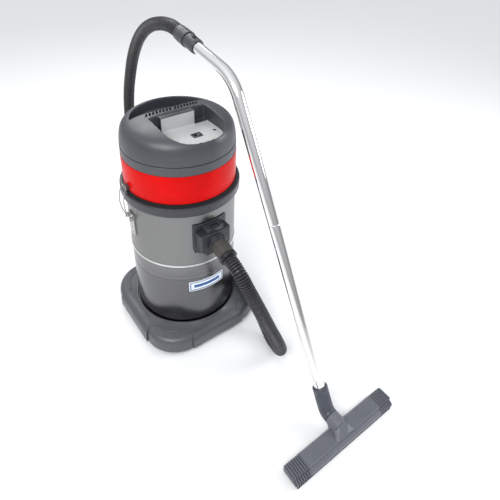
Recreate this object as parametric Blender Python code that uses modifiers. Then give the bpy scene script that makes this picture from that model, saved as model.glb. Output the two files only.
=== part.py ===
"""Wet and dry shop vacuum: a steel tank on a caster plinth, a lift-off motor head, and a hose,
a bent wand and a wide floor tool. Metres, +Z up, the floor at z = 0, the hose inlet facing -Y."""

import math

import bmesh
import bpy
from mathutils import Vector

GAP = 0.0003

# driving dimensions of the vacuum, measured from its own upright axis
TANK_RADIUS = 0.180
TANK_BOTTOM = 0.0703
TANK_MOUTH = 0.5845
TANK_WALL = 0.0014
BEAD_Z = 0.350
GROOVE_Z = 0.290
RIM_RADIUS = 0.195
RIM_BOTTOM = 0.562
RIM_TOP = 0.594
GASKET_TOP = 0.6035
DECK_TOP = 0.610
BAND_RADIUS = 0.182
BAND_TOP = 0.6992
COVER_TOP = 0.823
PLINTH_HALF = 0.221
PLINTH_CORNER = 0.118
PLINTH_STEP = 0.006
SKIRT_BOTTOM = 0.016
CAVITY_TOP = 0.056
SEAT_Z = 0.070
SEAT_RING_Z = 0.0845
DECK_Z = 0.0755
PLINTH_SIDES = 72

# head: cover, hand recesses and switch
COVER_SHAPE = (
    (0.1807, 0.6996),
    (0.1807, 0.7150),
    (0.1800, 0.7162),
    (0.1807, 0.7174),
    (0.1803, 0.7400),
    (0.1780, 0.7640),
    (0.1720, 0.7840),
    (0.1600, 0.7985),
    (0.1400, 0.8080),
    (0.1000, 0.8165),
    (0.0500, 0.8215),
    (0.0, COVER_TOP),
)
COVER_INSIDE = 0.1777
RECESS_FLOOR = 0.768
RECESS_HEIGHT = 0.080
VENTS_PER_SIDE = 8
VENT_PITCH = 0.011
VENT_TURN = math.radians(-28.0)
SWITCH_X = 0.020
SWITCH_Y = -0.080
GLAND_Z = 0.745

# casters
CASTER_REACH = 0.150
WHEEL_RADIUS = 0.020
WHEEL_HALF = 0.008
TRAIL = 0.012
AXLE_RADIUS = 0.0025
STEM_RADIUS = 0.005

# hose inlet
INLET_Z = 0.455
CUFF_TILT = math.radians(16.0)
CUFF_DIRECTION = Vector((0.0, -math.cos(CUFF_TILT), -math.sin(CUFF_TILT)))
INLET_MOUTH = Vector((0.002, -0.213, INLET_Z))
INLET_HALF = 0.055
LEVER_PIVOT = Vector((0.0, -0.2015, INLET_Z + 0.0535))

# latches
LATCH_PIVOT_Z = 0.500
LATCH_REACH = 0.1935
WIRE_RADIUS = 0.0016

# label
BADGE_Z = 0.2535
BADGE_TURN = math.radians(-94.5)
BADGE_SIZE = (0.131, 0.060, 0.043)

# wand and floor tool
WAND_X = 0.100
TUBE_RADIUS = 0.018
TUBE_WALL = 0.0012
WAND_TILT = math.radians(59.8)
WAND_FOOT = Vector((WAND_X, -0.632, 0.124))
WAND_RISE = Vector((0.0, math.cos(WAND_TILT), math.sin(WAND_TILT)))
HANDLE_TILT = math.radians(10.0)
HANDLE_RUN = Vector((0.0, math.cos(HANDLE_TILT), math.sin(HANDLE_TILT)))
WAND_KNEE = WAND_FOOT + WAND_RISE * 0.962
BEND_RADIUS = 0.125
HANDLE_REACH = 0.233
SEAM_RISE = 0.530
GRIP_RADIUS = 0.0235
ELBOW_Z = 0.052
ELBOW_BEND = 0.030
TOOL_HALF = 0.205
TOOL_FRONT = -0.771
TOOL_BACK = -0.709
TOOL_TOP = 0.042
TOOL_FOOT = 0.0125
TOOL_CAP = 0.056
HOSE_RADIUS = 0.0225

# the vacuum's axis, placed so that the origin is the middle of the whole footprint
FOOT_X = (-PLINTH_HALF - PLINTH_STEP + WAND_X + TOOL_HALF) / 2
FOOT_Y = (TOOL_FRONT - 0.003 + PLINTH_HALF + PLINTH_STEP) / 2

# the hose's route from the inlet cuff to the wand cuff, from the vacuum's axis and the floor
HOSE_ROUTE = (
    (0.002, -0.2843, 0.4345),
    (0.002, -0.3140, 0.4260),
    (0.004, -0.3400, 0.4100),
    (0.014, -0.3650, 0.3680),
    (0.040, -0.3950, 0.2860),
    (0.074, -0.4160, 0.1880),
    (0.102, -0.4300, 0.1120),
    (0.122, -0.4260, 0.0590),
    (0.134, -0.3980, 0.0310),
    (0.142, -0.3530, 0.0270),
    (0.149, -0.3060, 0.0450),
    (0.1550, -0.2590, 0.0760),
    (0.1610, -0.2130, 0.0980),
    (0.1690, -0.1680, 0.1050),
    (0.1800, -0.1240, 0.1070),
    (0.1925, -0.0790, 0.1085),
    (0.2030, -0.0300, 0.1090),
    (0.2070, 0.0250, 0.1090),
    (0.2045, 0.0760, 0.1085),
    (0.1970, 0.1260, 0.1075),
    (0.1890, 0.1760, 0.1040),
    (0.1820, 0.2260, 0.0950),
    (0.1760, 0.2760, 0.0760),
    (0.1710, 0.3260, 0.0510),
    (0.1660, 0.3760, 0.0320),
    (0.1590, 0.4260, 0.0250),
    (0.1490, 0.4800, 0.0300),
    (0.1350, 0.5400, 0.0600),
    (0.1210, 0.5880, 0.1200),
    (0.1100, 0.6160, 0.2150),
    (0.102, 0.6290, 0.3300),
    (0.100, 0.6330, 0.4400),
    (0.100, 0.6230, 0.5500),
    (0.100, 0.6020, 0.6410),
    (0.100, 0.5730, 0.7150),
    (0.100, 0.5300, 0.8020),
    (0.100, 0.4750, 0.8790),
    (0.100, 0.4100, 0.9400),
    (0.100, 0.3400, 0.9800),
    (0.100, 0.2650, 1.0040),
    (0.100, 0.2050, 1.0125),
    (0.100, 0.1720, 1.0118),
    (0.100, 0.1412, 1.0067),
)


def clear_scene():
    for old in list(bpy.data.objects):
        bpy.data.objects.remove(old, do_unlink=True)
    for old in list(bpy.data.collections):
        bpy.data.collections.remove(old)


def new_collection(name):
    made = bpy.data.collections.new(name)
    bpy.context.scene.collection.children.link(made)
    return made


def material(name, colour, roughness, metallic=0.0):
    made = bpy.data.materials.new(name)
    made.use_nodes = True
    surface = made.node_tree.nodes["Principled BSDF"]
    surface.inputs["Base Color"].default_value = (*colour, 1.0)
    surface.inputs["Roughness"].default_value = roughness
    surface.inputs["Metallic"].default_value = metallic
    return made


clear_scene()
PARTS = new_collection("shop_vacuum")
CUTTERS = new_collection("cutters")

GREY_PLASTIC = material("dark_grey_plastic", (0.075, 0.078, 0.085), 0.45)
BLACK_PLASTIC = material("black_plastic", (0.012, 0.012, 0.013), 0.5)
RED_PLASTIC = material("red_plastic", (0.78, 0.01, 0.01), 0.25)
RUBBER = material("black_rubber", (0.02, 0.02, 0.02), 0.85)
STEEL = material("satin_steel", (0.30, 0.30, 0.30), 0.35, 1.0)
CHROME = material("polished_steel", (0.75, 0.75, 0.75), 0.12, 1.0)
WIRE = material("spring_wire", (0.6, 0.6, 0.6), 0.25, 1.0)
ALUMINIUM = material("cast_aluminium", (0.55, 0.56, 0.58), 0.4, 1.0)
COPPER = material("copper_windings", (0.6, 0.28, 0.12), 0.4, 1.0)
FOAM = material("grey_foam", (0.12, 0.12, 0.13), 0.95)
CLOTH = material("filter_cloth", (0.62, 0.62, 0.58), 0.9)
BADGE = material("white_label", (0.85, 0.87, 0.92), 0.4)


def frame_empty(name, location, parent=None):
    """An empty that carries a body; its place is a joint's axis or the vacuum's upright axis."""
    made = bpy.data.objects.new(name, None)
    made.location = location
    made.parent = parent
    PARTS.objects.link(made)
    return made


VACUUM = frame_empty("vacuum_frame", (-FOOT_X, -FOOT_Y, 0.0))
HEAD = frame_empty("head_frame", (0.0, 0.0, 0.0), VACUUM)


def add_object(name, data, look, parent=VACUUM, location=(0, 0, 0)):
    made = bpy.data.objects.new(name, data)
    made.location = location
    if look is None:
        CUTTERS.objects.link(made)
        made.hide_render = True
        made.display_type = "WIRE"
    else:
        PARTS.objects.link(made)
        data.materials.append(look)
    made.parent = parent
    return made


def mesh_from(bm, name):
    bmesh.ops.recalc_face_normals(bm, faces=bm.faces)
    data = bpy.data.meshes.new(name)
    bm.to_mesh(data)
    bm.free()
    return data


def smooth(obj, angle=35.0):
    for polygon in obj.data.polygons:
        polygon.use_smooth = True
    obj.data.set_sharp_from_angle(angle=math.radians(angle))
    return obj


def point_along(obj, axis):
    """Turn a piece so that its own +Z lies along the axis."""
    obj.rotation_euler = Vector(axis).to_track_quat("Z", "Y").to_euler()
    return obj


def block(name, size, location, look, parent=VACUUM, bevel=0.0, segments=2):
    bm = bmesh.new()
    bmesh.ops.create_cube(bm, size=1.0)
    bmesh.ops.scale(bm, vec=size, verts=bm.verts)
    made = add_object(name, mesh_from(bm, name), look, parent, location)
    if bevel:
        add_bevel(made, bevel, segments)
    return made


def add_bevel(obj, width, segments=2, angle=35.0):
    rounding = obj.modifiers.new("rounded_edges", "BEVEL")
    rounding.width = width
    rounding.segments = segments
    rounding.limit_method = "ANGLE"
    rounding.angle_limit = math.radians(angle)
    return obj


def rod(name, radius, length, location, look, axis=(0, 0, 1), parent=VACUUM, sides=16, bevel=0.0):
    bm = bmesh.new()
    bmesh.ops.create_cone(bm, cap_ends=True, segments=sides, radius1=radius, radius2=radius, depth=length)
    made = add_object(name, mesh_from(bm, name), look, parent, location)
    point_along(made, axis)
    if bevel:
        add_bevel(made, bevel, 1)
    return smooth(made)


def lathe(name, profile, look, parent=VACUUM, location=(0, 0, 0), steps=40, closed=False, axis=(0, 0, 1)):
    """Turn a profile of (radius, z) about the piece's own +Z; closed joins its last point to its first."""
    count = len(profile)
    edges = [(i, i + 1) for i in range(count - 1)]
    if closed:
        edges.append((count - 1, 0))
    data = bpy.data.meshes.new(name)
    data.from_pydata([(r, 0.0, z) for r, z in profile], edges, [])
    made = add_object(name, data, look, parent, location)
    point_along(made, axis)
    turning = made.modifiers.new("turned", "SCREW")
    turning.axis = "Z"
    turning.angle = math.tau
    turning.steps = steps
    turning.render_steps = steps
    turning.use_merge_vertices = True
    turning.merge_threshold = 0.00005
    turning.use_smooth_shade = True
    return made


def tube(name, points, radius, look, parent=VACUUM, location=(0, 0, 0), sides=2, cyclic=False, capped=True):
    data = bpy.data.curves.new(name, "CURVE")
    data.dimensions = "3D"
    data.bevel_depth = radius
    data.bevel_resolution = sides
    data.use_fill_caps = capped
    line = data.splines.new("POLY")
    line.points.add(len(points) - 1)
    for spot, point in zip(line.points, points):
        spot.co = (*point, 1.0)
    line.use_cyclic_u = cyclic
    line.use_smooth = True
    return add_object(name, data, look, parent, location)


def plate(name, outline, thickness, look, parent=VACUUM, location=(0, 0, 0), rotation=(0, 0, 0)):
    """A flat outline in the piece's own XY plane, filled and made solid."""
    data = bpy.data.curves.new(name, "CURVE")
    data.dimensions = "2D"
    data.fill_mode = "BOTH"
    data.extrude = thickness / 2
    line = data.splines.new("POLY")
    line.points.add(len(outline) - 1)
    for spot, (x, y) in zip(line.points, outline):
        spot.co = (x, y, 0.0, 1.0)
    line.use_cyclic_u = True
    made = add_object(name, data, look, parent, location)
    made.rotation_euler = rotation
    return made


def to_mesh(obj):
    """Make a curve a mesh with welded caps, in the same place."""
    bpy.context.view_layer.update()
    look = obj.data.materials[0] if obj.data.materials else None
    name = obj.name
    parent = obj.parent
    matrix = obj.matrix_world.copy()
    depsgraph = bpy.context.evaluated_depsgraph_get()
    data = bpy.data.meshes.new_from_object(obj.evaluated_get(depsgraph))
    bm = bmesh.new()
    bm.from_mesh(data)
    bmesh.ops.remove_doubles(bm, verts=bm.verts, dist=0.00002)
    bm.to_mesh(data)
    bm.free()
    bpy.data.objects.remove(obj, do_unlink=True)
    data.materials.clear()
    made = add_object(name, data, look, parent)
    made.matrix_world = matrix
    return made


def loft(name, rings, look, parent=VACUUM, location=(0, 0, 0)):
    """A skin through rings of equal point counts, closed by a flat face at each end."""
    bm = bmesh.new()
    rows = [[bm.verts.new(point) for point in ring] for ring in rings]
    count = len(rings[0])
    for lower, upper in zip(rows, rows[1:]):
        for i in range(count):
            j = (i + 1) % count
            bm.faces.new((lower[i], lower[j], upper[j], upper[i]))
    bm.faces.new(reversed(rows[0]))
    bm.faces.new(rows[-1])
    return add_object(name, mesh_from(bm, name), look, parent, location)


def combine(obj, tool, operation="DIFFERENCE"):
    """Cut, join or intersect a piece with a hidden tool shape."""
    step = obj.modifiers.new(tool.name, "BOOLEAN")
    step.operation = operation
    step.solver = "EXACT"
    step.object = tool
    return obj


def circle(radius, z, count, turn=0.0):
    angles = [turn + math.tau * i / count for i in range(count)]
    return [Vector((radius * math.cos(a), radius * math.sin(a), z)) for a in angles]


def rounded_corner(start, corner, end, radius, count):
    """A route from start to end that turns at the corner on an arc."""
    inward = (corner - start).normalized()
    outward = (end - corner).normalized()
    turn = inward.angle(outward)
    tangent = radius * math.tan(turn / 2)
    first = corner - inward * tangent
    towards = (outward - inward * math.cos(turn)).normalized()
    centre = first + towards * radius
    points = [start]
    for i in range(count + 1):
        a = turn * i / count
        points.append(centre - towards * radius * math.cos(a) + inward * radius * math.sin(a))
    return points + [end]


def smooth_route(points, spacing):
    """Evenly spaced points on a Catmull-Rom curve through the route's own points."""
    spots = [Vector(p) for p in points]
    ends = [spots[0] * 2 - spots[1]] + spots + [spots[-1] * 2 - spots[-2]]
    fine = []
    for a, b, c, d in zip(ends, ends[1:], ends[2:], ends[3:]):
        for k in range(16):
            t = k / 16
            fine.append(0.5 * (2 * b + (c - a) * t + (2 * a - 5 * b + 4 * c - d) * t ** 2
                               + (3 * b - a - 3 * c + d) * t ** 3))
    fine.append(spots[-1])
    length = sum((q - p).length for p, q in zip(fine, fine[1:]))
    count = round(length / spacing)
    evened = [fine[0]]
    walked = 0.0
    for p, q in zip(fine, fine[1:]):
        step = (q - p).length
        while len(evened) < count and walked + step >= length / count * len(evened):
            share = (length / count * len(evened) - walked) / step
            evened.append(p.lerp(q, share))
        walked += step
    evened.append(fine[-1])
    return evened


# ---------------------------------------------------------------- plinth and casters

def plinth_radius(angle, inset, stepped):
    """Distance from the axis to the plinth's outline: a rounded square with proud middles."""
    half = PLINTH_HALF - inset
    corner = PLINTH_CORNER - inset
    flat = half - corner
    folded = math.atan2(abs(math.sin(angle)), abs(math.cos(angle)))
    if folded > math.pi / 4:
        folded = math.pi / 2 - folded
    across = half * math.tan(folded)
    if across <= flat:
        reach = half
        if stepped and across < flat:
            reach += PLINTH_STEP
        return reach / math.cos(folded)
    middle = flat * (math.cos(folded) + math.sin(folded))
    return middle + math.sqrt(middle ** 2 - 2 * flat ** 2 + corner ** 2)


def plinth_ring(inset, z, stepped=True):
    turn = math.tau / PLINTH_SIDES / 2
    ring = []
    for i in range(PLINTH_SIDES):
        a = turn + math.tau * i / PLINTH_SIDES
        reach = plinth_radius(a, inset, stepped)
        ring.append(Vector((reach * math.cos(a), reach * math.sin(a), z)))
    return ring


def make_plinth():
    """Moulded base: a bull-nosed skirt, a sloping deck and a round seat for the tank."""
    seat = TANK_RADIUS + 0.004
    turn = math.tau / PLINTH_SIDES / 2
    rings = [
        plinth_ring(0.012, CAVITY_TOP, False),
        plinth_ring(0.005, SKIRT_BOTTOM, False),
        plinth_ring(0.000, SKIRT_BOTTOM),
        plinth_ring(0.000, 0.052),
        plinth_ring(0.003, 0.061),
        plinth_ring(0.010, 0.068),
        plinth_ring(0.022, 0.073),
        plinth_ring(0.030, DECK_Z, False),
        circle(seat + 0.004, SEAT_RING_Z, PLINTH_SIDES, turn),
        circle(seat, SEAT_RING_Z - 0.001, PLINTH_SIDES, turn),
        circle(seat, SEAT_Z, PLINTH_SIDES, turn),
    ]
    plinth = loft("plinth", rings, GREY_PLASTIC)
    smooth(plinth, 30)
    for x in (-CASTER_REACH, CASTER_REACH):
        for y in (-CASTER_REACH, CASTER_REACH):
            socket = rod(f"socket_{x:+.2f}_{y:+.2f}", STEM_RADIUS + GAP, 0.024, (x, y, CAVITY_TOP), None,
                         sides=12)
            combine(plinth, socket)
    return plinth


def make_caster(tag, x, y):
    """Swivel caster: a folded yoke with its stem, an axle and a wheel trailing towards the back."""
    swivel = frame_empty(f"caster_swivel_{tag}", (x, y, 0.0), VACUUM)
    top = CAVITY_TOP - GAP
    yoke = block(f"caster_yoke_{tag}", (0.026, 0.036, 0.003), (0, TRAIL / 2, top - 0.0015), GREY_PLASTIC,
                 swivel)
    for side in (-1, 1):
        cheek = block(f"cheek_{tag}_{side}", (0.002, 0.018, 0.041), (side * 0.011, TRAIL, top - 0.0215),
                      None, swivel)
        combine(yoke, cheek, "UNION")
    stem = rod(f"stem_{tag}", STEM_RADIUS, 0.013, (0, 0, top + 0.005), None, parent=swivel, sides=12)
    combine(yoke, stem, "UNION")
    hole = rod(f"axle_hole_{tag}", AXLE_RADIUS + GAP, 0.04, (0, TRAIL, WHEEL_RADIUS), None, (1, 0, 0), swivel,
               12)
    combine(yoke, hole)
    rod(f"caster_axle_{tag}", AXLE_RADIUS, 0.027, (0, TRAIL, WHEEL_RADIUS), CHROME, (1, 0, 0), swivel, 12)
    wheel_profile = [
        (AXLE_RADIUS + GAP, WHEEL_HALF + 0.001),
        (0.007, WHEEL_HALF + 0.001),
        (0.009, WHEEL_HALF - 0.002),
        (WHEEL_RADIUS - 0.003, WHEEL_HALF - 0.001),
        (WHEEL_RADIUS, WHEEL_HALF - 0.003),
        (WHEEL_RADIUS, -WHEEL_HALF + 0.003),
        (WHEEL_RADIUS - 0.003, -WHEEL_HALF + 0.001),
        (0.009, -WHEEL_HALF + 0.002),
        (0.007, -WHEEL_HALF - 0.001),
        (AXLE_RADIUS + GAP, -WHEEL_HALF - 0.001),
    ]
    lathe(f"caster_wheel_{tag}", wheel_profile, RUBBER, swivel, (0, TRAIL, WHEEL_RADIUS), 24, True, (1, 0, 0))


# ---------------------------------------------------------------- tank
def make_tank():
    """Steel tank: an open drum with a proud bead and a pressed groove, holed at the inlet."""
    r = TANK_RADIUS
    inner = r - TANK_WALL
    profile = [
        (0.0, TANK_BOTTOM + TANK_WALL),
        (inner - 0.008, TANK_BOTTOM + TANK_WALL),
        (inner, TANK_BOTTOM + 0.010),
        (inner, TANK_MOUTH),
        (r, TANK_MOUTH),
        (r, BEAD_Z + 0.006),
        (r + 0.0022, BEAD_Z + 0.003),
        (r + 0.0022, BEAD_Z - 0.003),
        (r, BEAD_Z - 0.006),
        (r, GROOVE_Z + 0.005),
        (r - 0.0007, GROOVE_Z + 0.002),
        (r - 0.0007, GROOVE_Z - 0.002),
        (r, GROOVE_Z - 0.005),
        (r, TANK_BOTTOM + 0.009),
        (r - 0.009, TANK_BOTTOM),
        (0.0, TANK_BOTTOM),
    ]
    tank = lathe("tank", profile, STEEL, steps=48)
    port = rod("inlet_port", 0.025, 0.06, (0, -TANK_RADIUS, INLET_Z), None, (0, 1, 0), sides=20)
    combine(tank, port)
    return tank


def make_tank_rim():
    """Hard ring clamped over the tank's mouth."""
    profile = [
        (TANK_RADIUS - 0.0035, RIM_TOP),
        (RIM_RADIUS - 0.003, RIM_TOP),
        (RIM_RADIUS, RIM_TOP - 0.004),
        (RIM_RADIUS, RIM_BOTTOM + 0.004),
        (RIM_RADIUS - 0.003, RIM_BOTTOM),
        (TANK_RADIUS + GAP, RIM_BOTTOM),
        (TANK_RADIUS + GAP, TANK_MOUTH + GAP),
        (TANK_RADIUS - 0.0035, TANK_MOUTH + GAP),
    ]
    return lathe("tank_rim", profile, GREY_PLASTIC, steps=48, closed=True)


def curved_sheet(name, look, inner, outer, box_size, box_location, box_turn=0.0):
    """A patch of a cylinder's wall, cut out of a ring by a box."""
    low = box_location[2] - box_size[2]
    high = box_location[2] + box_size[2]
    profile = [(inner, high), (outer, high), (outer, low), (inner, low)]
    ring = lathe(name, profile, look, steps=96, closed=True)
    window = block(f"{name}_window", box_size, box_location, None)
    window.rotation_euler = (0, 0, box_turn)
    return combine(ring, window, "INTERSECT")


def make_badge():
    """Blank label on the tank's front."""
    place = (TANK_RADIUS * math.cos(BADGE_TURN), TANK_RADIUS * math.sin(BADGE_TURN), BADGE_Z)
    return curved_sheet("tank_badge", BADGE, TANK_RADIUS + GAP, TANK_RADIUS + 0.001, BADGE_SIZE, place,
                        BADGE_TURN + math.pi / 2)


# ---------------------------------------------------------------- hose inlet
def make_inlet():
    """Moulded inlet on the tank's front: gasket, curved plate, housing, lever, screws and deflector."""
    inner = TANK_RADIUS + GAP
    plate_in = inner + 0.0015 + GAP
    plate_out = plate_in + 0.003
    gasket = curved_sheet("inlet_gasket", RUBBER, inner, inner + 0.0015, (0.112, 0.09, 0.108),
                          (0, -0.19, INLET_Z + 0.005))
    base = curved_sheet("inlet_plate", GREY_PLASTIC, plate_in, plate_out, (0.124, 0.09, 0.120),
                        (0, -0.19, INLET_Z + 0.005))
    port = rod("gasket_port", 0.026, 0.09, (0, -0.19, INLET_Z), None, (0, 1, 0), sides=20)
    combine(gasket, port)
    combine(base, port)
    outline = [
        (-INLET_HALF, 0.040),
        (INLET_HALF, 0.040),
        (INLET_HALF, -0.022),
        (0.034, -0.045),
        (-0.034, -0.045),
        (-INLET_HALF, -0.022),
    ]
    back = -0.166
    front = -0.2135
    housing = loft(
        "inlet_housing",
        [[(x, back, INLET_Z + z) for x, z in outline],
         [(x, front + 0.006, INLET_Z + z) for x, z in outline],
         [(x * 0.93, front, INLET_Z + z * 0.93) for x, z in outline]],
        GREY_PLASTIC)
    drum = rod("housing_drum", plate_out + GAP, 0.3, (0, 0, INLET_Z), None, sides=96)
    combine(housing, drum)
    tilt = CUFF_DIRECTION
    collar = rod("inlet_collar", 0.0305, 0.018, INLET_MOUTH + tilt * 0.001, None, tilt, sides=24)
    combine(housing, collar, "UNION")
    bore = rod("inlet_bore", 0.0260, 0.10, INLET_MOUTH - tilt * 0.02, None, tilt, sides=24)
    combine(housing, bore)
    smooth(housing, 30)
    hood = block("inlet_hood", (0.060, 0.024, 0.020), (0.0, -0.196, INLET_Z + 0.048), None)
    combine(housing, hood, "UNION")
    combine(housing, drum)
    slot = block("lever_slot", (0.0270, 0.030, 0.0200), (0.0, -0.209, INLET_Z + 0.0560), None)
    combine(housing, slot)
    pin_hole = rod("lever_pin_hole", 0.0018, 0.036, LEVER_PIVOT, None, (1, 0, 0), sides=10)
    combine(housing, pin_hole)
    make_inlet_lever()
    deflector = block("inlet_deflector", (0.070, 0.036, 0.090), (0, -0.170, INLET_Z - 0.005), GREY_PLASTIC)
    chamber = block("deflector_chamber", (0.064, 0.080, 0.090), (0, -0.195, INLET_Z - 0.009), None)
    combine(deflector, chamber)
    shell = rod("tank_space", TANK_RADIUS - TANK_WALL - 0.0010, 0.4, (0, 0, INLET_Z), None, sides=96)
    combine(deflector, shell, "INTERSECT")


def make_inlet_lever():
    """Release lever above the inlet, pivoting about a cross axis in the hood's slot."""
    lever = block("inlet_lever", (0.026, 0.022, 0.005), LEVER_PIVOT, GREY_PLASTIC, bevel=0.001, segments=1)
    for vertex in lever.data.vertices:
        vertex.co.y -= 0.006
    thumb = block("lever_thumb", (0.026, 0.004, 0.012), LEVER_PIVOT + Vector((0, -0.0150, 0.0035)), None)
    combine(lever, thumb, "UNION")
    pin = rod("lever_pin", 0.0015, 0.032, LEVER_PIVOT, None, (1, 0, 0), sides=10)
    combine(lever, pin, "UNION")


def make_inlet_cuff():
    """Swivelling hose cuff in the inlet's bore, with grip ribs and a ring at the hose's end."""
    mouth = INLET_MOUTH + CUFF_DIRECTION * 0.0106
    profile = [
        (0.0215, 0.0620),
        (0.0280, 0.0620),
        (0.0295, 0.0600),
        (0.0295, 0.0470),
        (0.0275, 0.0460),
        (0.0270, 0.0005),
        (0.0255, 0.0000),
        (0.0255, -0.0300),
        (0.0215, -0.0300),
    ]
    return lathe("hose_cuff_inlet", profile, GREY_PLASTIC, location=mouth, steps=24, closed=True,
                 axis=CUFF_DIRECTION)


# ---------------------------------------------------------------- latches

def make_latches():
    """Wire latches at both sides: brackets riveted to the tank, catches on the head."""
    drum = rod("bracket_drum", TANK_RADIUS + GAP, 0.2, (0, 0, 0.47), None, sides=96)
    band = rod("catch_drum", BAND_RADIUS + GAP, 0.2, (0, 0, 0.62), None, sides=96)
    for side, tag in ((-1, "left"), (1, "right")):
        bracket = block(f"latch_bracket_{tag}", (0.006, 0.034, 0.086),
                        (side * (TANK_RADIUS + 0.0015), 0, 0.4715), WIRE)
        combine(bracket, drum)
        for end in (-1, 1):
            ear_y = end * 0.0145
            ear = block(f"ear_{tag}_{end}", (0.014, 0.003, 0.016), (side * 0.190, ear_y, LATCH_PIVOT_Z), None)
            combine(bracket, ear, "UNION")
            hole = rod(f"ear_hole_{tag}_{end}", WIRE_RADIUS + 0.0005, 0.012,
                       (side * LATCH_REACH, ear_y, LATCH_PIVOT_Z), None, (0, 1, 0), sides=10)
            combine(bracket, hole)
        catch = block(f"latch_catch_{tag}", (0.0120, 0.024, 0.010), (side * 0.1863, 0, 0.6150), GREY_PLASTIC,
                      HEAD)
        lip = block(f"lip_{tag}", (0.0026, 0.024, 0.014), (side * 0.1910, 0, 0.6190), None, HEAD)
        combine(catch, lip, "UNION")
        combine(catch, band)
        make_bail(side, tag)


def make_bail(side, tag):
    """Spring wire loop: pivots in the bracket, bows out over the rim and rests behind the catch."""
    half = 0.0175
    climb = [
        (0.0, half, 0.0),
        (side * 0.004, half, 0.012),
        (side * 0.011, half, 0.034),
        (side * 0.0145, half, 0.060),
        (side * 0.0130, half - 0.001, 0.085),
        (side * 0.0085, half - 0.002, 0.103),
        (side * 0.0022, half - 0.003, 0.1160),
    ]
    across = [(side * 0.0006, half - 0.006, 0.1192), (side * 0.0006, 6 * GAP, 0.1192)]
    route = [(0.0, 0.0128, 0.0)] + climb + across
    mirror = [(x, -y, z) for x, y, z in reversed(route)]
    return tube(f"latch_bail_{tag}", route + mirror, WIRE_RADIUS, WIRE, VACUUM,
                (side * LATCH_REACH, 0.0, LATCH_PIVOT_Z))


# ---------------------------------------------------------------- motor head
def d_outline(half, depth, straight, count=9):
    """A D: a straight back edge at y = 0 and a rounded front, for the hand recess."""
    points = [(half, 0.0), (half, -straight)]
    for i in range(1, count):
        a = math.pi / 2 * (2 * i / count - 1)
        points.append((-half * math.sin(a), -straight - (depth - straight) * math.cos(a)))
    points += [(-half, -straight), (-half, 0.0)]
    return points


def make_cover():
    """Domed cover with a cross handle between a front hand recess and a rear crescent recess."""
    outer = [(r, z) for r, z in reversed(COVER_SHAPE)]
    inside = [
        (COVER_INSIDE, COVER_SHAPE[0][1]),
        (COVER_INSIDE, 0.7420),
        (0.1680, RECESS_FLOOR - 0.0120),
        (0.0, RECESS_FLOOR - 0.0120),
    ]
    cover = lathe("head_cover", outer + inside, GREY_PLASTIC, HEAD, steps=56)
    middle = RECESS_FLOOR + RECESS_HEIGHT / 2
    front = plate("front_recess", d_outline(0.096, 0.150, 0.060), RECESS_HEIGHT, None, HEAD,
                  (0.004, -0.004, middle))
    combine(cover, to_mesh(front))
    pocket = block("finger_pocket", (0.192, 0.022, RECESS_HEIGHT), (0.004, -0.004, middle), None, HEAD)
    combine(cover, pocket)
    wall = block("recess_wall", (0.116, 0.024, 0.053), (-0.004, -0.0020, RECESS_FLOOR + 0.0225), None, HEAD)
    combine(cover, wall, "UNION")
    crescent = []
    steps = 12
    for i in range(steps + 1):
        a = math.radians(20 + 140 * i / steps)
        crescent.append((0.142 * math.cos(a), 0.142 * math.sin(a)))
    crescent += [(-0.106, 0.048), (-0.05, 0.037), (0.0, 0.034), (0.05, 0.037), (0.106, 0.048)]
    rear = plate("rear_recess", crescent, RECESS_HEIGHT, None, HEAD, (0, 0, middle))
    combine(cover, to_mesh(rear))
    duct = block("handle_duct", (0.150, 0.0120, 0.058), (0, 0.0215, 0.7860), None, HEAD)
    combine(cover, duct)
    for i in range(2 * VENTS_PER_SIDE):
        x = VENT_PITCH * (i - VENTS_PER_SIDE)
        if i >= VENTS_PER_SIDE:
            x += 0.006
        slot = block(f"vent_{i}", (0.0050, 0.0160, 0.020), (x, 0.0275 + 0.6 * x * x, 0.8180), None, HEAD)
        slot.rotation_euler = (0, 0, VENT_TURN)
        combine(cover, slot)
    opening = block("switch_opening", (0.0286, 0.0206, 0.03),
                    (SWITCH_X, SWITCH_Y, RECESS_FLOOR - 0.006), None, HEAD)
    combine(cover, opening)
    return cover


def make_switch():
    """Rocker switch in the front recess's floor."""
    frame = block("switch_frame", (0.032, 0.024, 0.0020), (SWITCH_X, SWITCH_Y, RECESS_FLOOR + GAP + 0.0010),
                  BLACK_PLASTIC, HEAD)
    body = block("switch_body", (0.0280, 0.0200, 0.0110), (SWITCH_X, SWITCH_Y, RECESS_FLOOR - 0.0040), None,
                 HEAD)
    combine(frame, body, "UNION")
    well = block("switch_well", (0.0220, 0.0140, 0.0110), (SWITCH_X, SWITCH_Y, RECESS_FLOOR + 0.0010), None,
                 HEAD)
    combine(frame, well)
    profile = [(-0.0100, 0.0045), (0.0, 0.0018), (0.0100, 0.0030), (0.0085, -0.0024), (-0.0085, -0.0024)]
    rocker = plate("switch_rocker", profile, 0.0130, BLACK_PLASTIC, HEAD,
                   (SWITCH_X, SWITCH_Y, RECESS_FLOOR + 0.0005), (math.pi / 2, 0, 0))
    return to_mesh(rocker)


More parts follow.
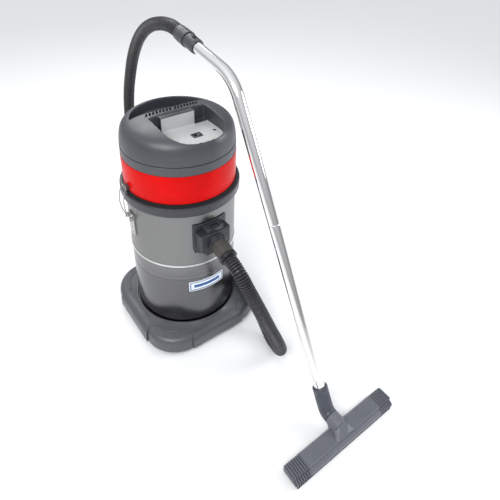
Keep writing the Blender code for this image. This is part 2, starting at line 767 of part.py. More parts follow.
def make_head_shells():
    gasket = [(0.1725, GASKET_TOP), (0.1860, GASKET_TOP), (0.1860, RIM_TOP + GAP), (0.1725, RIM_TOP + GAP)]
    lathe("head_gasket", gasket, RUBBER, HEAD, steps=40, closed=True)
    deck = [
        (0.0205, DECK_TOP),
        (0.1780, DECK_TOP),
        (0.1780, GASKET_TOP + GAP),
        (0.0205, GASKET_TOP + GAP),
    ]
    lathe("motor_deck", deck, GREY_PLASTIC, HEAD, steps=40, closed=True)
    band = [
        (BAND_RADIUS - 0.0035, BAND_TOP),
        (BAND_RADIUS - 0.0008, BAND_TOP),
        (BAND_RADIUS, BAND_TOP - 0.0008),
        (BAND_RADIUS, GASKET_TOP + GAP + 0.0008),
        (BAND_RADIUS - 0.0008, GASKET_TOP + GAP),
        (BAND_RADIUS - 0.0035, GASKET_TOP + GAP),
    ]
    lathe("red_band", band, RED_PLASTIC, HEAD, steps=48, closed=True)
    gland = [
        (0.0, 0.030),
        (0.0055, 0.030),
        (0.0065, 0.012),
        (0.0105, 0.010),
        (0.0105, 0.0003),
        (0.0075, 0.0003),
        (0.0075, -0.012),
        (0.0, -0.012),
    ]
    mount = BAND_RADIUS - 0.0015
    lathe("cable_gland", gland, BLACK_PLASTIC, HEAD, (0, mount + 0.0017, GLAND_Z), 20, axis=(0, 1, 0))
    hole = rod("gland_hole", 0.0075 + GAP, 0.05, (0, mount, GLAND_Z), None, (0, 1, 0), HEAD, 20)
    combine(bpy.data.objects["head_cover"], hole)


def make_motor():
    """Two-stage motor and fan inside the head."""
    low = DECK_TOP + GAP
    foam = [(0.100, 0.690), (0.165, 0.690), (0.165, low), (0.100, low)]
    lathe("noise_foam", foam, FOAM, HEAD, steps=24, closed=True)
    can = [
        (0.0115, 0.6560),
        (0.0700, 0.6560),
        (0.0720, 0.6540),
        (0.0720, low),
        (0.0205, low),
        (0.0205, low + 0.002),
        (0.0700, low + 0.002),
        (0.0700, 0.6540),
        (0.0115, 0.6540),
    ]
    lathe("fan_housing", can, ALUMINIUM, HEAD, steps=24, closed=True)
    frame = [
        (0.0116, 0.7440),
        (0.0380, 0.7440),
        (0.0450, 0.7300),
        (0.0450, 0.6563),
        (0.0420, 0.6563),
        (0.0420, 0.7290),
        (0.0370, 0.7415),
        (0.0116, 0.7415),
    ]
    lathe("motor_frame", frame, ALUMINIUM, HEAD, steps=24, closed=True)
    for name, z in (("bearing_lower", 0.6550), ("bearing_upper", 0.7428)):
        race = [(0.0043, z + 0.0030), (0.0112, z + 0.0030), (0.0112, z - 0.0030), (0.0043, z - 0.0030)]
        lathe(name, race, CHROME, HEAD, steps=16, closed=True)
    shaft = [
        (0.0, 0.7490),
        (0.0040, 0.7490),
        (0.0040, 0.7300),
        (0.0150, 0.7300),
        (0.0150, 0.7140),
        (0.0100, 0.7100),
        (0.0240, 0.7060),
        (0.0240, 0.6680),
        (0.0080, 0.6620),
        (0.0040, 0.6600),
        (0.0040, 0.6150),
        (0.0, 0.6150),
    ]
    lathe("motor_shaft", shaft, COPPER, HEAD, steps=16)
    for name, z in (("impeller_lower", 0.6180), ("impeller_upper", 0.6360)):
        disc = [
            (0.0043, z + 0.0110),
            (0.0090, z + 0.0110),
            (0.0110, z + 0.0020),
            (0.0640, z + 0.0020),
            (0.0640, z),
            (0.0043, z),
        ]
        impeller = lathe(name, disc, ALUMINIUM, HEAD, steps=24, closed=True)
        vanes = 6
        for i in range(vanes):
            a = math.tau * i / vanes
            vane = block(f"{name}_vane_{i}", (0.0500, 0.0016, 0.0080),
                         (0.0370 * math.cos(a), 0.0370 * math.sin(a), z + 0.0055), None, HEAD)
            vane.rotation_euler = (0, 0, a + math.radians(12))
            combine(impeller, vane, "UNION")


def make_float_and_filter():
    """Float cage under the deck's intake, and the cloth filter round it."""
    top = GASKET_TOP
    cage = lathe("float_cage", [
        (0.0290, top),
        (0.0360, top),
        (0.0360, top - 0.004),
        (0.0320, top - 0.006),
        (0.0320, 0.520),
        (0.0, 0.520),
        (0.0, 0.5225),
        (0.0290, 0.5225),
    ], GREY_PLASTIC, HEAD, steps=24, closed=True)
    for i in range(3):
        window = block(f"cage_window_{i}", (0.09, 0.024, 0.050), (0, 0, 0.562), None, HEAD)
        window.rotation_euler = (0, 0, math.radians(60 * i))
        combine(cage, window)
    buoy = [(0.0, 0.5630), (0.0200, 0.5630), (0.0240, 0.5590), (0.0240, 0.5270), (0.0200, 0.5230),
            (0.0, 0.5230)]
    lathe("float", buoy, RED_PLASTIC, HEAD, steps=20)
    ring = [(0.1560, 0.5930), (0.1720, 0.5930), (0.1720, 0.5880), (0.1560, 0.5880)]
    lathe("filter_ring", ring, BLACK_PLASTIC, HEAD, steps=32, closed=True)
    skin = [
        (0.0, 0.4020),
        (0.1100, 0.4020),
        (0.1640, 0.5877),
        (0.1660, 0.5877),
        (0.1120, 0.4000),
        (0.0, 0.4000),
    ]
    lathe("filter_bag", skin, CLOTH, HEAD, steps=28)


# ---------------------------------------------------------------- wand
def make_wand():
    """Two polished tubes: a bent upper one with its handle sleeve, and a lower one in the elbow."""
    seam = WAND_FOOT + WAND_RISE * SEAM_RISE
    tip = WAND_KNEE + HANDLE_RUN * HANDLE_REACH
    points = rounded_corner(seam, WAND_KNEE, tip, BEND_RADIUS, 8)
    upper = tube("wand_upper_tube", points, TUBE_RADIUS, CHROME, sides=6, capped=False)
    wall = upper.modifiers.new("wall", "SOLIDIFY")
    wall.thickness = TUBE_WALL
    wall.offset = -1.0
    lower = [
        (TUBE_RADIUS - TUBE_WALL, SEAM_RISE - GAP),
        (TUBE_RADIUS, SEAM_RISE - GAP),
        (TUBE_RADIUS, 0.0),
        (TUBE_RADIUS - TUBE_WALL, 0.0),
    ]
    lathe("wand_lower_tube", lower, CHROME, location=WAND_FOOT, steps=24, closed=True, axis=WAND_RISE)
    reach = 0.035
    fit = TUBE_RADIUS - TUBE_WALL - 0.0002 - GAP
    spigot = [
        (0.0155, SEAM_RISE + reach),
        (fit, SEAM_RISE + reach),
        (fit, SEAM_RISE - reach),
        (0.0155, SEAM_RISE - reach),
    ]
    lathe("wand_coupling", spigot, GREY_PLASTIC, location=WAND_FOOT, steps=20, closed=True, axis=WAND_RISE)
    return tip


def make_handle(tube_end):
    """Grip sleeve on the wand's bent end, the hose's swivel cuff and the sliding air regulator."""
    bore = TUBE_RADIUS + GAP
    sleeve = [
        (0.0145, 0.0160),
        (0.0192, 0.0160),
        (0.0192, 0.0125),
        (0.0177, 0.0123),
        (0.0177, 0.0040),
        (0.0225, 0.0040),
        (GRIP_RADIUS, 0.0020),
        (GRIP_RADIUS, -0.0440),
        (0.0215, -0.0480),
        (bore, -0.0480),
        (bore, 0.0003),
        (0.0145, 0.0003),
    ]
    lathe("handle_sleeve", sleeve, GREY_PLASTIC, location=tube_end, steps=24, closed=True, axis=HANDLE_RUN)
    cuff = [
        (0.0205, 0.0600),
        (0.0245, 0.0600),
        (0.0255, 0.0580),
        (0.0255, 0.0140),
        (0.0262, 0.0130),
        (0.0262, 0.0050),
        (0.0180, 0.0050),
        (0.0180, 0.0118),
        (0.0205, 0.0119),
    ]
    lathe("hose_cuff_wand", cuff, GREY_PLASTIC, location=tube_end, steps=24, closed=True, axis=HANDLE_RUN)
    up = Vector((0, -math.sin(HANDLE_TILT), math.cos(HANDLE_TILT)))
    spot = tube_end + HANDLE_RUN * -0.024 + up * (GRIP_RADIUS + GAP + 0.0015)
    slide = block("air_slide", (0.010, 0.016, 0.003), spot, BLACK_PLASTIC, bevel=0.0006, segments=1)
    slide.rotation_euler = (HANDLE_TILT, 0, 0)


# ---------------------------------------------------------------- floor tool
def make_elbow():
    """Elbow between the wand and the floor tool: a cuff along the wand and a short level socket."""
    knee = WAND_FOOT - WAND_RISE * ((WAND_FOOT.z - ELBOW_Z) / WAND_RISE.z)
    top = WAND_FOOT + WAND_RISE * 0.004
    level = Vector((0, -1, 0))
    outlet = knee + level * 0.0195
    route = rounded_corner(top, knee, outlet, ELBOW_BEND, 6)
    elbow = smooth(to_mesh(tube("wand_elbow", route, GRIP_RADIUS, GREY_PLASTIC, sides=5)))
    through = rounded_corner(top + WAND_RISE * 0.01, knee, outlet + level * 0.01, ELBOW_BEND, 6)
    passage = to_mesh(tube("elbow_passage", through, 0.0150, None, sides=3))
    combine(elbow, passage)
    socket = rod("elbow_socket", TUBE_RADIUS + GAP, 0.04, WAND_FOOT + WAND_RISE * (0.020 - GAP), None,
                 WAND_RISE, sides=24)
    combine(elbow, socket)
    return knee


def make_floor_tool(knee):
    """Wide floor tool: a hollow body with its swivel neck, two ribbed ends and two wiper strips."""
    tool = frame_empty("floor_tool_swivel", knee, VACUUM)
    mid = Vector((0.0, (TOOL_FRONT + TOOL_BACK) / 2, 0.0)) - Vector((0.0, knee.y, knee.z))
    depth = TOOL_BACK - TOOL_FRONT
    width = 2 * (TOOL_HALF - TOOL_CAP)

    def section(x, shrink=0.0):
        front = mid.y - depth / 2
        back = mid.y + depth / 2
        base = mid.z
        return [
            (x, front + shrink, base + TOOL_FOOT),
            (x, back - shrink, base + TOOL_FOOT),
            (x, back - shrink, base + 0.032),
            (x, back - 0.006, base + TOOL_TOP),
            (x, front + 0.014, base + TOOL_TOP),
            (x, front + 0.011, base + 0.028),
            (x, front + shrink, base + 0.026),
        ]

    body = loft("floor_tool_body", [section(-width / 2), section(width / 2)], GREY_PLASTIC, tool)
    neck = rod("tool_neck", 0.0240, 0.044, (0, -0.0420, 0), None, (0, 1, 0), tool, 24)
    combine(body, neck, "UNION")
    apron = loft("tool_apron", [
        [(-0.024, -0.050, -0.012), (0.024, -0.050, -0.012), (0.0, -0.050, 0.023)],
        [(-0.048, mid.y - 0.018, mid.z + 0.034), (0.048, mid.y - 0.018, mid.z + 0.034),
         (0.0, mid.y - 0.018, mid.z + TOOL_TOP + 0.004)],
    ], None, tool)
    combine(body, apron, "UNION")
    hollow = block("tool_hollow", (width - 0.012, 0.028, 0.033), (0, mid.y + 0.004, mid.z + 0.0215), None,
                   tool)
    combine(body, hollow)
    throat = rod("tool_throat", 0.0195, 0.050, (0, -0.035, 0), None, (0, 1, 0), tool, 16)
    combine(body, throat)
    drop = rod("tool_drop", 0.0100, 0.030, (0, -0.050, -0.012), None, (0, 0, 1), tool, 12)
    combine(body, drop)
    smooth(body, 30)
    for side, tag in ((-1, "left"), (1, "right")):
        near = side * (width / 2 + GAP)
        far = side * TOOL_HALF
        loft(f"floor_tool_end_{tag}", [section(near), section(far - side * 0.004), section(far, 0.003)],
             GREY_PLASTIC, tool)
    height = TOOL_FOOT - GAP
    for tag, y in (("front", TOOL_FRONT + 0.0035), ("rear", TOOL_BACK - 0.0035)):
        block(f"floor_tool_{tag}_strip", (2 * TOOL_HALF - 0.012, 0.005, height),
              (0, y - knee.y, height / 2 - knee.z), RUBBER, tool)


def make_hose():
    """The corrugated hose as one plain tube from the inlet cuff to the wand cuff."""
    return tube("hose", smooth_route(HOSE_ROUTE, 0.040), HOSE_RADIUS, RUBBER, sides=2)


make_plinth()
for row, y in (("front", -CASTER_REACH), ("rear", CASTER_REACH)):
    for hand, x in (("left", -CASTER_REACH), ("right", CASTER_REACH)):
        make_caster(f"{row}_{hand}", x, y)
make_tank()
make_tank_rim()
make_badge()
make_inlet()
make_inlet_cuff()
make_latches()
make_cover()
make_switch()
make_head_shells()
make_motor()
make_float_and_filter()
make_handle(make_wand())
make_floor_tool(make_elbow())
make_hose()
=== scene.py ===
"""The shop vacuum's looks: finer shells, hose and fittings, and procedural finishes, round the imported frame.
Metres, +Z up, the floor at z = 0. The vacuum's own upright axis is the middle of the tank."""

import math

import bmesh
import bpy
from mathutils import Matrix, Vector


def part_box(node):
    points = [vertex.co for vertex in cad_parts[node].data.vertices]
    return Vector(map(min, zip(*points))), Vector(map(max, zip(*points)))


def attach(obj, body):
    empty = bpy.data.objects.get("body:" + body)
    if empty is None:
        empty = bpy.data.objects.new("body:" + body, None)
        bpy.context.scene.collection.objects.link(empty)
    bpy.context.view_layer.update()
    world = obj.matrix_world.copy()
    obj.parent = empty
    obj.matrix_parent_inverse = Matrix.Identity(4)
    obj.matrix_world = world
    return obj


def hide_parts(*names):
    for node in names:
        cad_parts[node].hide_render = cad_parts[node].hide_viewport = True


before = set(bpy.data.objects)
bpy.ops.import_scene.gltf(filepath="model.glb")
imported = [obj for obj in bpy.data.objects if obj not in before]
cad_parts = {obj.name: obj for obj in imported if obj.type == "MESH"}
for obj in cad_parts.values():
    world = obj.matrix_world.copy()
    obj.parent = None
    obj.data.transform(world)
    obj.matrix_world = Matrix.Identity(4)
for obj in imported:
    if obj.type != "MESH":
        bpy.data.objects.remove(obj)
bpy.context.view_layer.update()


# ---------------------------------------------------------------- places read from the frame
def middle(node):
    low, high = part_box(node)
    return (low + high) / 2


def reach(node):
    """Half a round node's width across X."""
    low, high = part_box(node)
    return (high.x - low.x) / 2


def top(node):
    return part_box(node)[1].z


AXIS = Vector((middle("tank_rim").x, middle("tank_rim").y, 0.0))
RIM_RADIUS = reach("tank_rim")
BAND_RADIUS = reach("red_band")
TANK_RADIUS = 0.180
TANK_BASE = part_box("tank")[0].z
BEAD_Z = 0.350
GROOVE_Z = 0.290
SEAM_Z = 0.7290
BAND_TOP = 0.6992
BAND_BASE = 0.6038
COVER_TOP = top("head_cover")
RECESS_FLOOR = 0.768
INLET_Z = 0.455
TUBE_RADIUS = 0.018
TUBE_WALL = 0.0012
ELBOW_RADIUS = 0.0235
ELBOW_Z = 0.052
FLOOR_RADIUS = 30.0
FLOOR_GAP = 0.0004

# the wand leans back over the tank from its foot in the elbow, and its handle lies almost level
WAND_TILT = math.radians(59.8)
WAND_RISE = Vector((0.0, math.cos(WAND_TILT), math.sin(WAND_TILT)))
HANDLE_TILT = math.radians(10.0)
HANDLE_RUN = Vector((0.0, math.cos(HANDLE_TILT), math.sin(HANDLE_TILT)))
CUFF_TILT = math.radians(16.0)
CUFF_RUN = Vector((0.0, -math.cos(CUFF_TILT), -math.sin(CUFF_TILT)))


def from_axis(x, y, z):
    """A point given from the vacuum's upright axis and the floor."""
    return Vector((AXIS.x + x, AXIS.y + y, z))


WAND_FOOT = from_axis(0.100, -0.632, 0.124)
WAND_KNEE = WAND_FOOT + WAND_RISE * 0.962
WAND_TIP = WAND_KNEE + HANDLE_RUN * 0.233
WAND_SEAM = WAND_FOOT + WAND_RISE * 0.530
INLET_MOUTH = from_axis(0.002, -0.213, INLET_Z)
CUFF_MOUTH = INLET_MOUTH + CUFF_RUN * 0.0106
SWITCH_PLACE = from_axis(0.020, -0.080, RECESS_FLOOR)


# ---------------------------------------------------------------- camera and light
def make_camera():
    """The camera stands in front, to the left and above."""
    data = bpy.data.cameras.new("camera")
    data.sensor_width = 36.0
    data.lens = 32.99
    data.shift_x = 0.0104
    data.shift_y = -0.147
    camera = bpy.data.objects.new("camera", data)
    right = Vector((0.8043, -0.5935, 0.0306))
    up = Vector((0.3075, 0.4596, 0.8332))
    turn = Matrix((right, up, right.cross(up))).transposed().to_4x4()
    camera.matrix_world = Matrix.Translation((-0.6369, -0.8509, 1.4245)) @ turn
    bpy.context.scene.collection.objects.link(camera)
    bpy.context.scene.camera = camera


def soft_light(name, place, target, width, power, colour=(1.0, 1.0, 1.0)):
    """A rectangular soft box that faces a target."""
    data = bpy.data.lights.new(name, "AREA")
    data.shape = "RECTANGLE"
    data.size = width
    data.size_y = width * 0.7
    data.energy = power
    data.color = colour
    light = bpy.data.objects.new(name, data)
    light.location = place
    light.rotation_euler = (target - Vector(place)).to_track_quat("-Z", "Y").to_euler()
    bpy.context.scene.collection.objects.link(light)


def make_studio():
    """A white floor in a pale room that is brighter overhead than at its horizon, and three soft boxes."""
    world = bpy.data.worlds.new("studio")
    world.use_nodes = True
    tree = world.node_tree
    room = tree.nodes["Background"]
    room.inputs["Color"].default_value = (0.95, 0.97, 1.0, 1.0)
    direction = tree.nodes.new("ShaderNodeTexCoord")
    parts = tree.nodes.new("ShaderNodeSeparateXYZ")
    tree.links.new(direction.outputs["Generated"], parts.inputs["Vector"])
    strength = tree.nodes.new("ShaderNodeMath")
    strength.operation = "MULTIPLY"
    for factor, (way, *bounds) in enumerate((("Z", 0.0, 0.8, 0.42, 1.15), ("X", -0.6, 0.8, 1.0, 0.55))):
        grade = tree.nodes.new("ShaderNodeMapRange")
        for label, value in zip(("From Min", "From Max", "To Min", "To Max"), bounds):
            grade.inputs[label].default_value = value
        tree.links.new(parts.outputs[way], grade.inputs["Value"])
        tree.links.new(grade.outputs["Result"], strength.inputs[factor])
    tree.links.new(strength.outputs["Value"], room.inputs["Strength"])
    bpy.context.scene.world = world
    bpy.context.scene.view_settings.view_transform = "Standard"
    target = from_axis(0.0, -0.15, 0.45)
    soft_light("key_light", (-1.9, -0.9, 2.6), target, 1.6, 46.0)
    soft_light("side_light", (2.2, -1.2, 1.5), target, 1.2, 30.0, (0.88, 0.93, 1.0))
    soft_light("back_light", (0.4, 2.2, 2.4), target, 1.4, 22.0)
    bm = bmesh.new()
    bmesh.ops.create_circle(bm, cap_ends=True, segments=64, radius=FLOOR_RADIUS)
    data = bpy.data.meshes.new("floor")
    bm.to_mesh(data)
    bm.free()
    data.materials.append(backdrop())
    floor = bpy.data.objects.new("floor", data)
    floor.location.z = -FLOOR_GAP
    bpy.context.scene.collection.objects.link(floor)


# ---------------------------------------------------------------- finishes
class Finish:
    """A material under construction: its node tree, its surface shader and the object's own coordinates."""

    def __init__(self, name, colour, roughness, metallic=0.0):
        self.material = bpy.data.materials.new(name)
        self.material.use_nodes = True
        self.tree = self.material.node_tree
        self.surface = self.tree.nodes["Principled BSDF"]
        self.surface.inputs["Base Color"].default_value = (*colour, 1.0)
        self.surface.inputs["Roughness"].default_value = roughness
        self.surface.inputs["Metallic"].default_value = metallic
        self.place = self.node("ShaderNodeTexCoord").outputs["Object"]

    def node(self, kind, **settings):
        made = self.tree.nodes.new(kind)
        for key, value in settings.items():
            setattr(made, key, value)
        return made

    def link(self, source, target):
        self.tree.links.new(source, target)

    def stretched(self, scale, turn=(0.0, 0.0, 0.0)):
        """The object's coordinates, turned and then stretched, for a drawn or brushed grain."""
        turned = self.node("ShaderNodeMapping", vector_type="POINT")
        turned.inputs["Rotation"].default_value = turn
        self.link(self.place, turned.inputs["Vector"])
        scaled = self.node("ShaderNodeMapping", vector_type="POINT")
        scaled.inputs["Scale"].default_value = scale
        self.link(turned.outputs["Vector"], scaled.inputs["Vector"])
        return scaled.outputs["Vector"]

    def noise(self, scale, detail=3.0, vector=None, roughness=0.5):
        made = self.node("ShaderNodeTexNoise")
        made.inputs["Scale"].default_value = scale
        made.inputs["Detail"].default_value = detail
        made.inputs["Roughness"].default_value = roughness
        self.link(vector or self.place, made.inputs["Vector"])
        return made.outputs["Fac"]

    def spread(self, value, low, high, to_low=0.0, to_high=1.0):
        """A value's stretch from low to high, spread over another stretch and held at its ends."""
        made = self.node("ShaderNodeMapRange")
        for label, bound in zip(("From Min", "From Max", "To Min", "To Max"), (low, high, to_low, to_high)):
            made.inputs[label].default_value = bound
        self.link(value, made.inputs["Value"])
        return made.outputs["Result"]

    def mixed(self, share, first, second):
        """A colour between two, each given as a colour or as a socket."""
        made = self.node("ShaderNodeMix", data_type="RGBA")
        self.link(share, made.inputs["Factor"])
        sockets = [socket for socket in made.inputs if socket.type == "RGBA"]
        for socket, value in zip(sockets, (first, second)):
            if isinstance(value, bpy.types.NodeSocket):
                self.link(value, socket)
            else:
                socket.default_value = (*value, 1.0)
        return next(socket for socket in made.outputs if socket.type == "RGBA")

    def sum(self, first, second, operation="ADD"):
        """Arithmetic on two sockets or numbers."""
        made = self.node("ShaderNodeMath", operation=operation)
        for socket, value in zip(made.inputs, (first, second)):
            if isinstance(value, bpy.types.NodeSocket):
                self.link(value, socket)
            else:
                socket.default_value = value
        return made.outputs["Value"]

    def axis_of(self, vector, name):
        made = self.node("ShaderNodeSeparateXYZ")
        self.link(vector, made.inputs["Vector"])
        return made.outputs[name]

    def product(self, first, second):
        return self.sum(first, second, "MULTIPLY")

    def relief(self, height, depth, strength):
        made = self.node("ShaderNodeBump")
        made.inputs["Strength"].default_value = strength
        made.inputs["Distance"].default_value = depth
        self.link(height, made.inputs["Height"])
        return made.outputs["Normal"]

    def set(self, **links):
        """Link the shader's inputs, named in lower case, and give the finished material."""
        for name, socket in links.items():
            self.link(socket, self.surface.inputs[name.replace("_", " ").title()])
        return self.material


def shade_of(colour, factor):
    return tuple(min(1.0, channel * factor) for channel in colour)


def box_share(made, low, high, reach, edge=0.0008):
    """One inside a box and within a reach of the vacuum's axis, nought outside them, with soft faces."""
    along = made.sum(made.axis_of(made.place, "X"), -AXIS.x)
    across = made.sum(made.axis_of(made.place, "Y"), -AXIS.y)
    squares = made.sum(made.product(along, along), made.product(across, across))
    share = made.spread(squares, (reach + edge) ** 2, (reach - edge) ** 2)
    for name, near, far, shift in zip("XYZ", low, high, AXIS):
        value = made.axis_of(made.place, name)
        above = made.spread(value, shift + near - edge, shift + near + edge)
        below = made.spread(value, shift + far + edge, shift + far - edge)
        share = made.product(made.product(share, above), below)
    return share


def moulded(name, colour, roughness, wear, grain, depth, specular=0.5, dust=0.0, painted_light_and_shade=()):
    """Moulded plastic or rubber: spark-eroded grain, a cloudy gloss, faint scuffs, settled dust, and boxes of
    painted light and painted shade where given.
    """
    made = Finish(name, colour, roughness)
    cloud = made.noise(9.0, 4.0)
    tone = made.mixed(made.spread(cloud, 0.3, 0.7), shade_of(colour, 0.90), shade_of(colour, 1.12))
    scratch = made.noise(55.0, 5.0, made.stretched((1.0, 7.0, 1.0), (0.5, 0.3, 0.9)), 0.65)
    scuffs = made.spread(scratch, 0.66, 0.78)
    tone = made.mixed(made.product(scuffs, wear), tone, shade_of(colour, 2.2))
    if dust:
        facing = made.axis_of(made.node("ShaderNodeNewGeometry").outputs["Normal"], "Z")
        lying = made.product(made.spread(facing, 0.75, 1.0), made.spread(made.noise(30.0, 6.0), 0.35, 0.75))
        tone = made.mixed(made.product(lying, dust), tone, (0.42, 0.41, 0.39))
    # boxes of painted light and painted shade laid over the plastic's own tone
    for low, high, reach, painted_tone in painted_light_and_shade:
        tone = made.mixed(box_share(made, low, high, reach), tone, painted_tone)
    gloss = made.spread(made.noise(24.0, 5.0), 0.25, 0.75, roughness - 0.07, roughness + 0.07)
    made.surface.inputs["Specular IOR Level"].default_value = specular
    return made.set(base_color=tone, roughness=gloss, normal=made.relief(made.noise(grain, 2.0), depth, 0.6))


def backdrop():
    """Plain white studio paper with a barely seen unevenness."""
    made = Finish("white_backdrop", (0.95, 0.95, 0.95), 0.9)
    cloud = made.noise(0.6, 2.0)
    made.surface.inputs["Specular IOR Level"].default_value = 0.1
    tone = made.mixed(cloud, (0.945, 0.945, 0.945), (0.955, 0.955, 0.955))
    return made.set(base_color=tone, roughness=made.spread(cloud, 0.0, 1.0, 0.88, 0.92))


def brushed(name, colour, roughness, scale, turn=(0.0, 0.0, 0.0), depth=0.00002):
    """Drawn or brushed metal: fine lines along one direction, smears and a few handling marks."""
    made = Finish(name, colour, roughness, 1.0)
    lines = made.noise(1.0, 6.0, made.stretched(scale, turn), 0.7)
    smear = made.noise(7.0, 4.0)
    tone = made.mixed(made.spread(lines, 0.25, 0.75), shade_of(colour, 0.92), shade_of(colour, 1.06))
    gloss = made.sum(made.spread(lines, 0.2, 0.8, -0.04, 0.05),
                     made.spread(smear, 0.3, 0.7, roughness - 0.03, roughness + 0.04))
    return made.set(base_color=tone, roughness=gloss, normal=made.relief(lines, depth, 0.5))


def tank_steel():
    """Rolled steel sheet: satin above the bead and more mirror-like below the groove, with painted shade
    darkening the steel below the groove and painted highlight lines along the bead and the groove."""
    made = Finish("satin_tank_steel", (0.40, 0.40, 0.40), 0.35, 1.0)
    height = made.axis_of(made.place, "Z")
    # below the groove the steel is glossier, and painted darker as painted shade
    lower = made.spread(height, BEAD_Z + 0.004, GROOVE_Z - 0.006)
    lines = made.noise(1.0, 7.0, made.stretched((5.0, 5.0, 900.0)), 0.7)
    smear = made.noise(6.0, 4.0, made.stretched((1.0, 1.0, 0.45)))
    tone = made.mixed(lower, (0.235, 0.235, 0.232), (0.150, 0.150, 0.158))
    tone = made.mixed(made.spread(lines, 0.2, 0.8, 0.0, 0.18), tone, (0.20, 0.20, 0.20))
    edge = 0.0006
    # painted highlight bands along the bead and the groove
    painted_highlight_bands = ((BEAD_Z - 0.0008, BEAD_Z + 0.0044, 0.85), (GROOVE_Z + 0.0022, GROOVE_Z + 0.0050, 0.55))
    for low, high, highlight_grey in painted_highlight_bands:
        above = made.spread(height, low - edge, low + edge)
        below = made.spread(height, high + edge, high - edge)
        tone = made.mixed(made.product(above, below), tone, (highlight_grey, highlight_grey, highlight_grey))
    gloss = made.sum(made.spread(lower, 0.0, 1.0, 0.36, 0.20), made.spread(smear, 0.3, 0.7, -0.04, 0.05))
    return made.set(base_color=tone, roughness=gloss, normal=made.relief(lines, 0.00002, 0.35))


def label_print():
    """Printed label with a blue border line and a plain blue bar, on the piece's own UV map."""
    made = Finish("label_print", (0.85, 0.88, 0.92), 0.32)
    spot = made.node("ShaderNodeUVMap", uv_map="label").outputs["UV"]
    across, upward = (made.sum(made.sum(made.axis_of(spot, way), 0.5, "SUBTRACT"), 0.0, "ABSOLUTE")
                      for way in "XY")

    def frame_share(half_x, half_y):
        inside_x = made.sum(across, half_x, "LESS_THAN")
        inside_y = made.sum(upward, half_y, "LESS_THAN")
        return made.product(inside_x, inside_y)

    line = made.sum(frame_share(0.472, 0.420), frame_share(0.447, 0.340), "SUBTRACT")
    ink = made.sum(line, frame_share(0.37, 0.15), "MAXIMUM")
    paper = made.mixed(made.spread(made.noise(160.0, 3.0), 0.3, 0.7), (0.80, 0.84, 0.90), (0.88, 0.91, 0.95))
    tone = made.mixed(ink, paper, (0.020, 0.10, 0.30))
    gloss = made.spread(made.noise(60.0, 3.0), 0.3, 0.7, 0.26, 0.40)
    return made.set(base_color=tone, roughness=gloss, normal=made.relief(made.noise(900.0), 0.00002, 0.4))


def hose_rubber():
    """Blown black hose: glossier crests, lighter where worn, and dull grooves darkened by painted shade, from
    the hose's own attribute.
    """
    made = Finish("hose_plastic", (0.016, 0.016, 0.017), 0.38)
    crest = made.node("ShaderNodeAttribute", attribute_name="crest").outputs["Fac"]
    wear = made.spread(made.noise(18.0, 5.0), 0.2, 0.8, 0.7, 1.0)
    # painted shade darkens the grooves; the noise lightens the crests where they are worn
    groove_shade_and_wear = made.product(made.spread(crest, 0.35, 1.0), wear)
    tone = made.mixed(groove_shade_and_wear, (0.004, 0.004, 0.005), (0.046, 0.046, 0.048))
    cloud = made.spread(made.noise(35.0), 0.3, 0.7, -0.05, 0.06)
    gloss = made.sum(made.spread(crest, 0.0, 1.0, 0.60, 0.30), cloud)
    return made.set(base_color=tone, roughness=gloss, normal=made.relief(made.noise(1200.0), 0.00004, 0.4))


def woven_cloth():
    """Filter cloth: a plain weave with slubs and grey dust."""
    made = Finish("filter_cloth_weave", (0.62, 0.61, 0.56), 0.95)
    warp = made.node("ShaderNodeTexWave", wave_type="BANDS", bands_direction="Z")
    weft = made.node("ShaderNodeTexWave", wave_type="BANDS", bands_direction="DIAGONAL")
    for wave in (warp, weft):
        wave.inputs["Scale"].default_value = 320.0
        wave.inputs["Distortion"].default_value = 1.0
        made.link(made.place, wave.inputs["Vector"])
    threads = made.product(warp.outputs["Fac"], weft.outputs["Fac"])
    tone = made.mixed(made.spread(made.noise(25.0, 6.0), 0.3, 0.7), (0.50, 0.49, 0.45), (0.70, 0.69, 0.64))
    made.surface.inputs["Sheen Weight"].default_value = 0.3
    gloss = made.spread(threads, 0.0, 1.0, 0.98, 0.85)
    return made.set(base_color=tone, roughness=gloss, normal=made.relief(threads, 0.0003, 0.7))


def open_foam():
    """Open-celled foam: pale walls, with painted shade darkening the pores."""
    made = Finish("foam_cells", (0.12, 0.12, 0.13), 0.95)
    cells = made.node("ShaderNodeTexVoronoi")
    cells.inputs["Scale"].default_value = 420.0
    made.link(made.place, cells.inputs["Vector"])
    pores = made.spread(cells.outputs["Distance"], 0.1, 0.6)
    tone = made.mixed(pores, (0.03, 0.03, 0.035), (0.17, 0.17, 0.18))
    gloss = made.spread(pores, 0.0, 1.0, 0.85, 0.98)
    return made.set(base_color=tone, roughness=gloss, normal=made.relief(pores, 0.0005, 0.8))


def wound_copper():
    """Enamelled copper windings: close parallel wires, with painted shade in the dark bands between them."""
    made = Finish("copper_wire", (0.62, 0.26, 0.10), 0.3, 1.0)
    wires = made.node("ShaderNodeTexWave", wave_type="BANDS", bands_direction="Z")
    wires.inputs["Scale"].default_value = 380.0
    made.link(made.place, wires.inputs["Vector"])
    tone = made.mixed(wires.outputs["Fac"], (0.30, 0.10, 0.04), (0.75, 0.34, 0.14))
    gloss = made.spread(made.noise(80.0), 0.3, 0.7, 0.22, 0.40)
    return made.set(base_color=tone, roughness=gloss, normal=made.relief(wires.outputs["Fac"], 0.0003, 0.8))


WAND_TURN = (math.pi / 2 - WAND_TILT, 0.0, 0.0)
# painted light grey, and painted shade at full and at half strength, for boxes on the cover
PAINTED_LIGHT_GREY = (0.50, 0.505, 0.500)
SHADE = (0.012, 0.013, 0.018)
HALF_SHADE = (0.030, 0.032, 0.040)
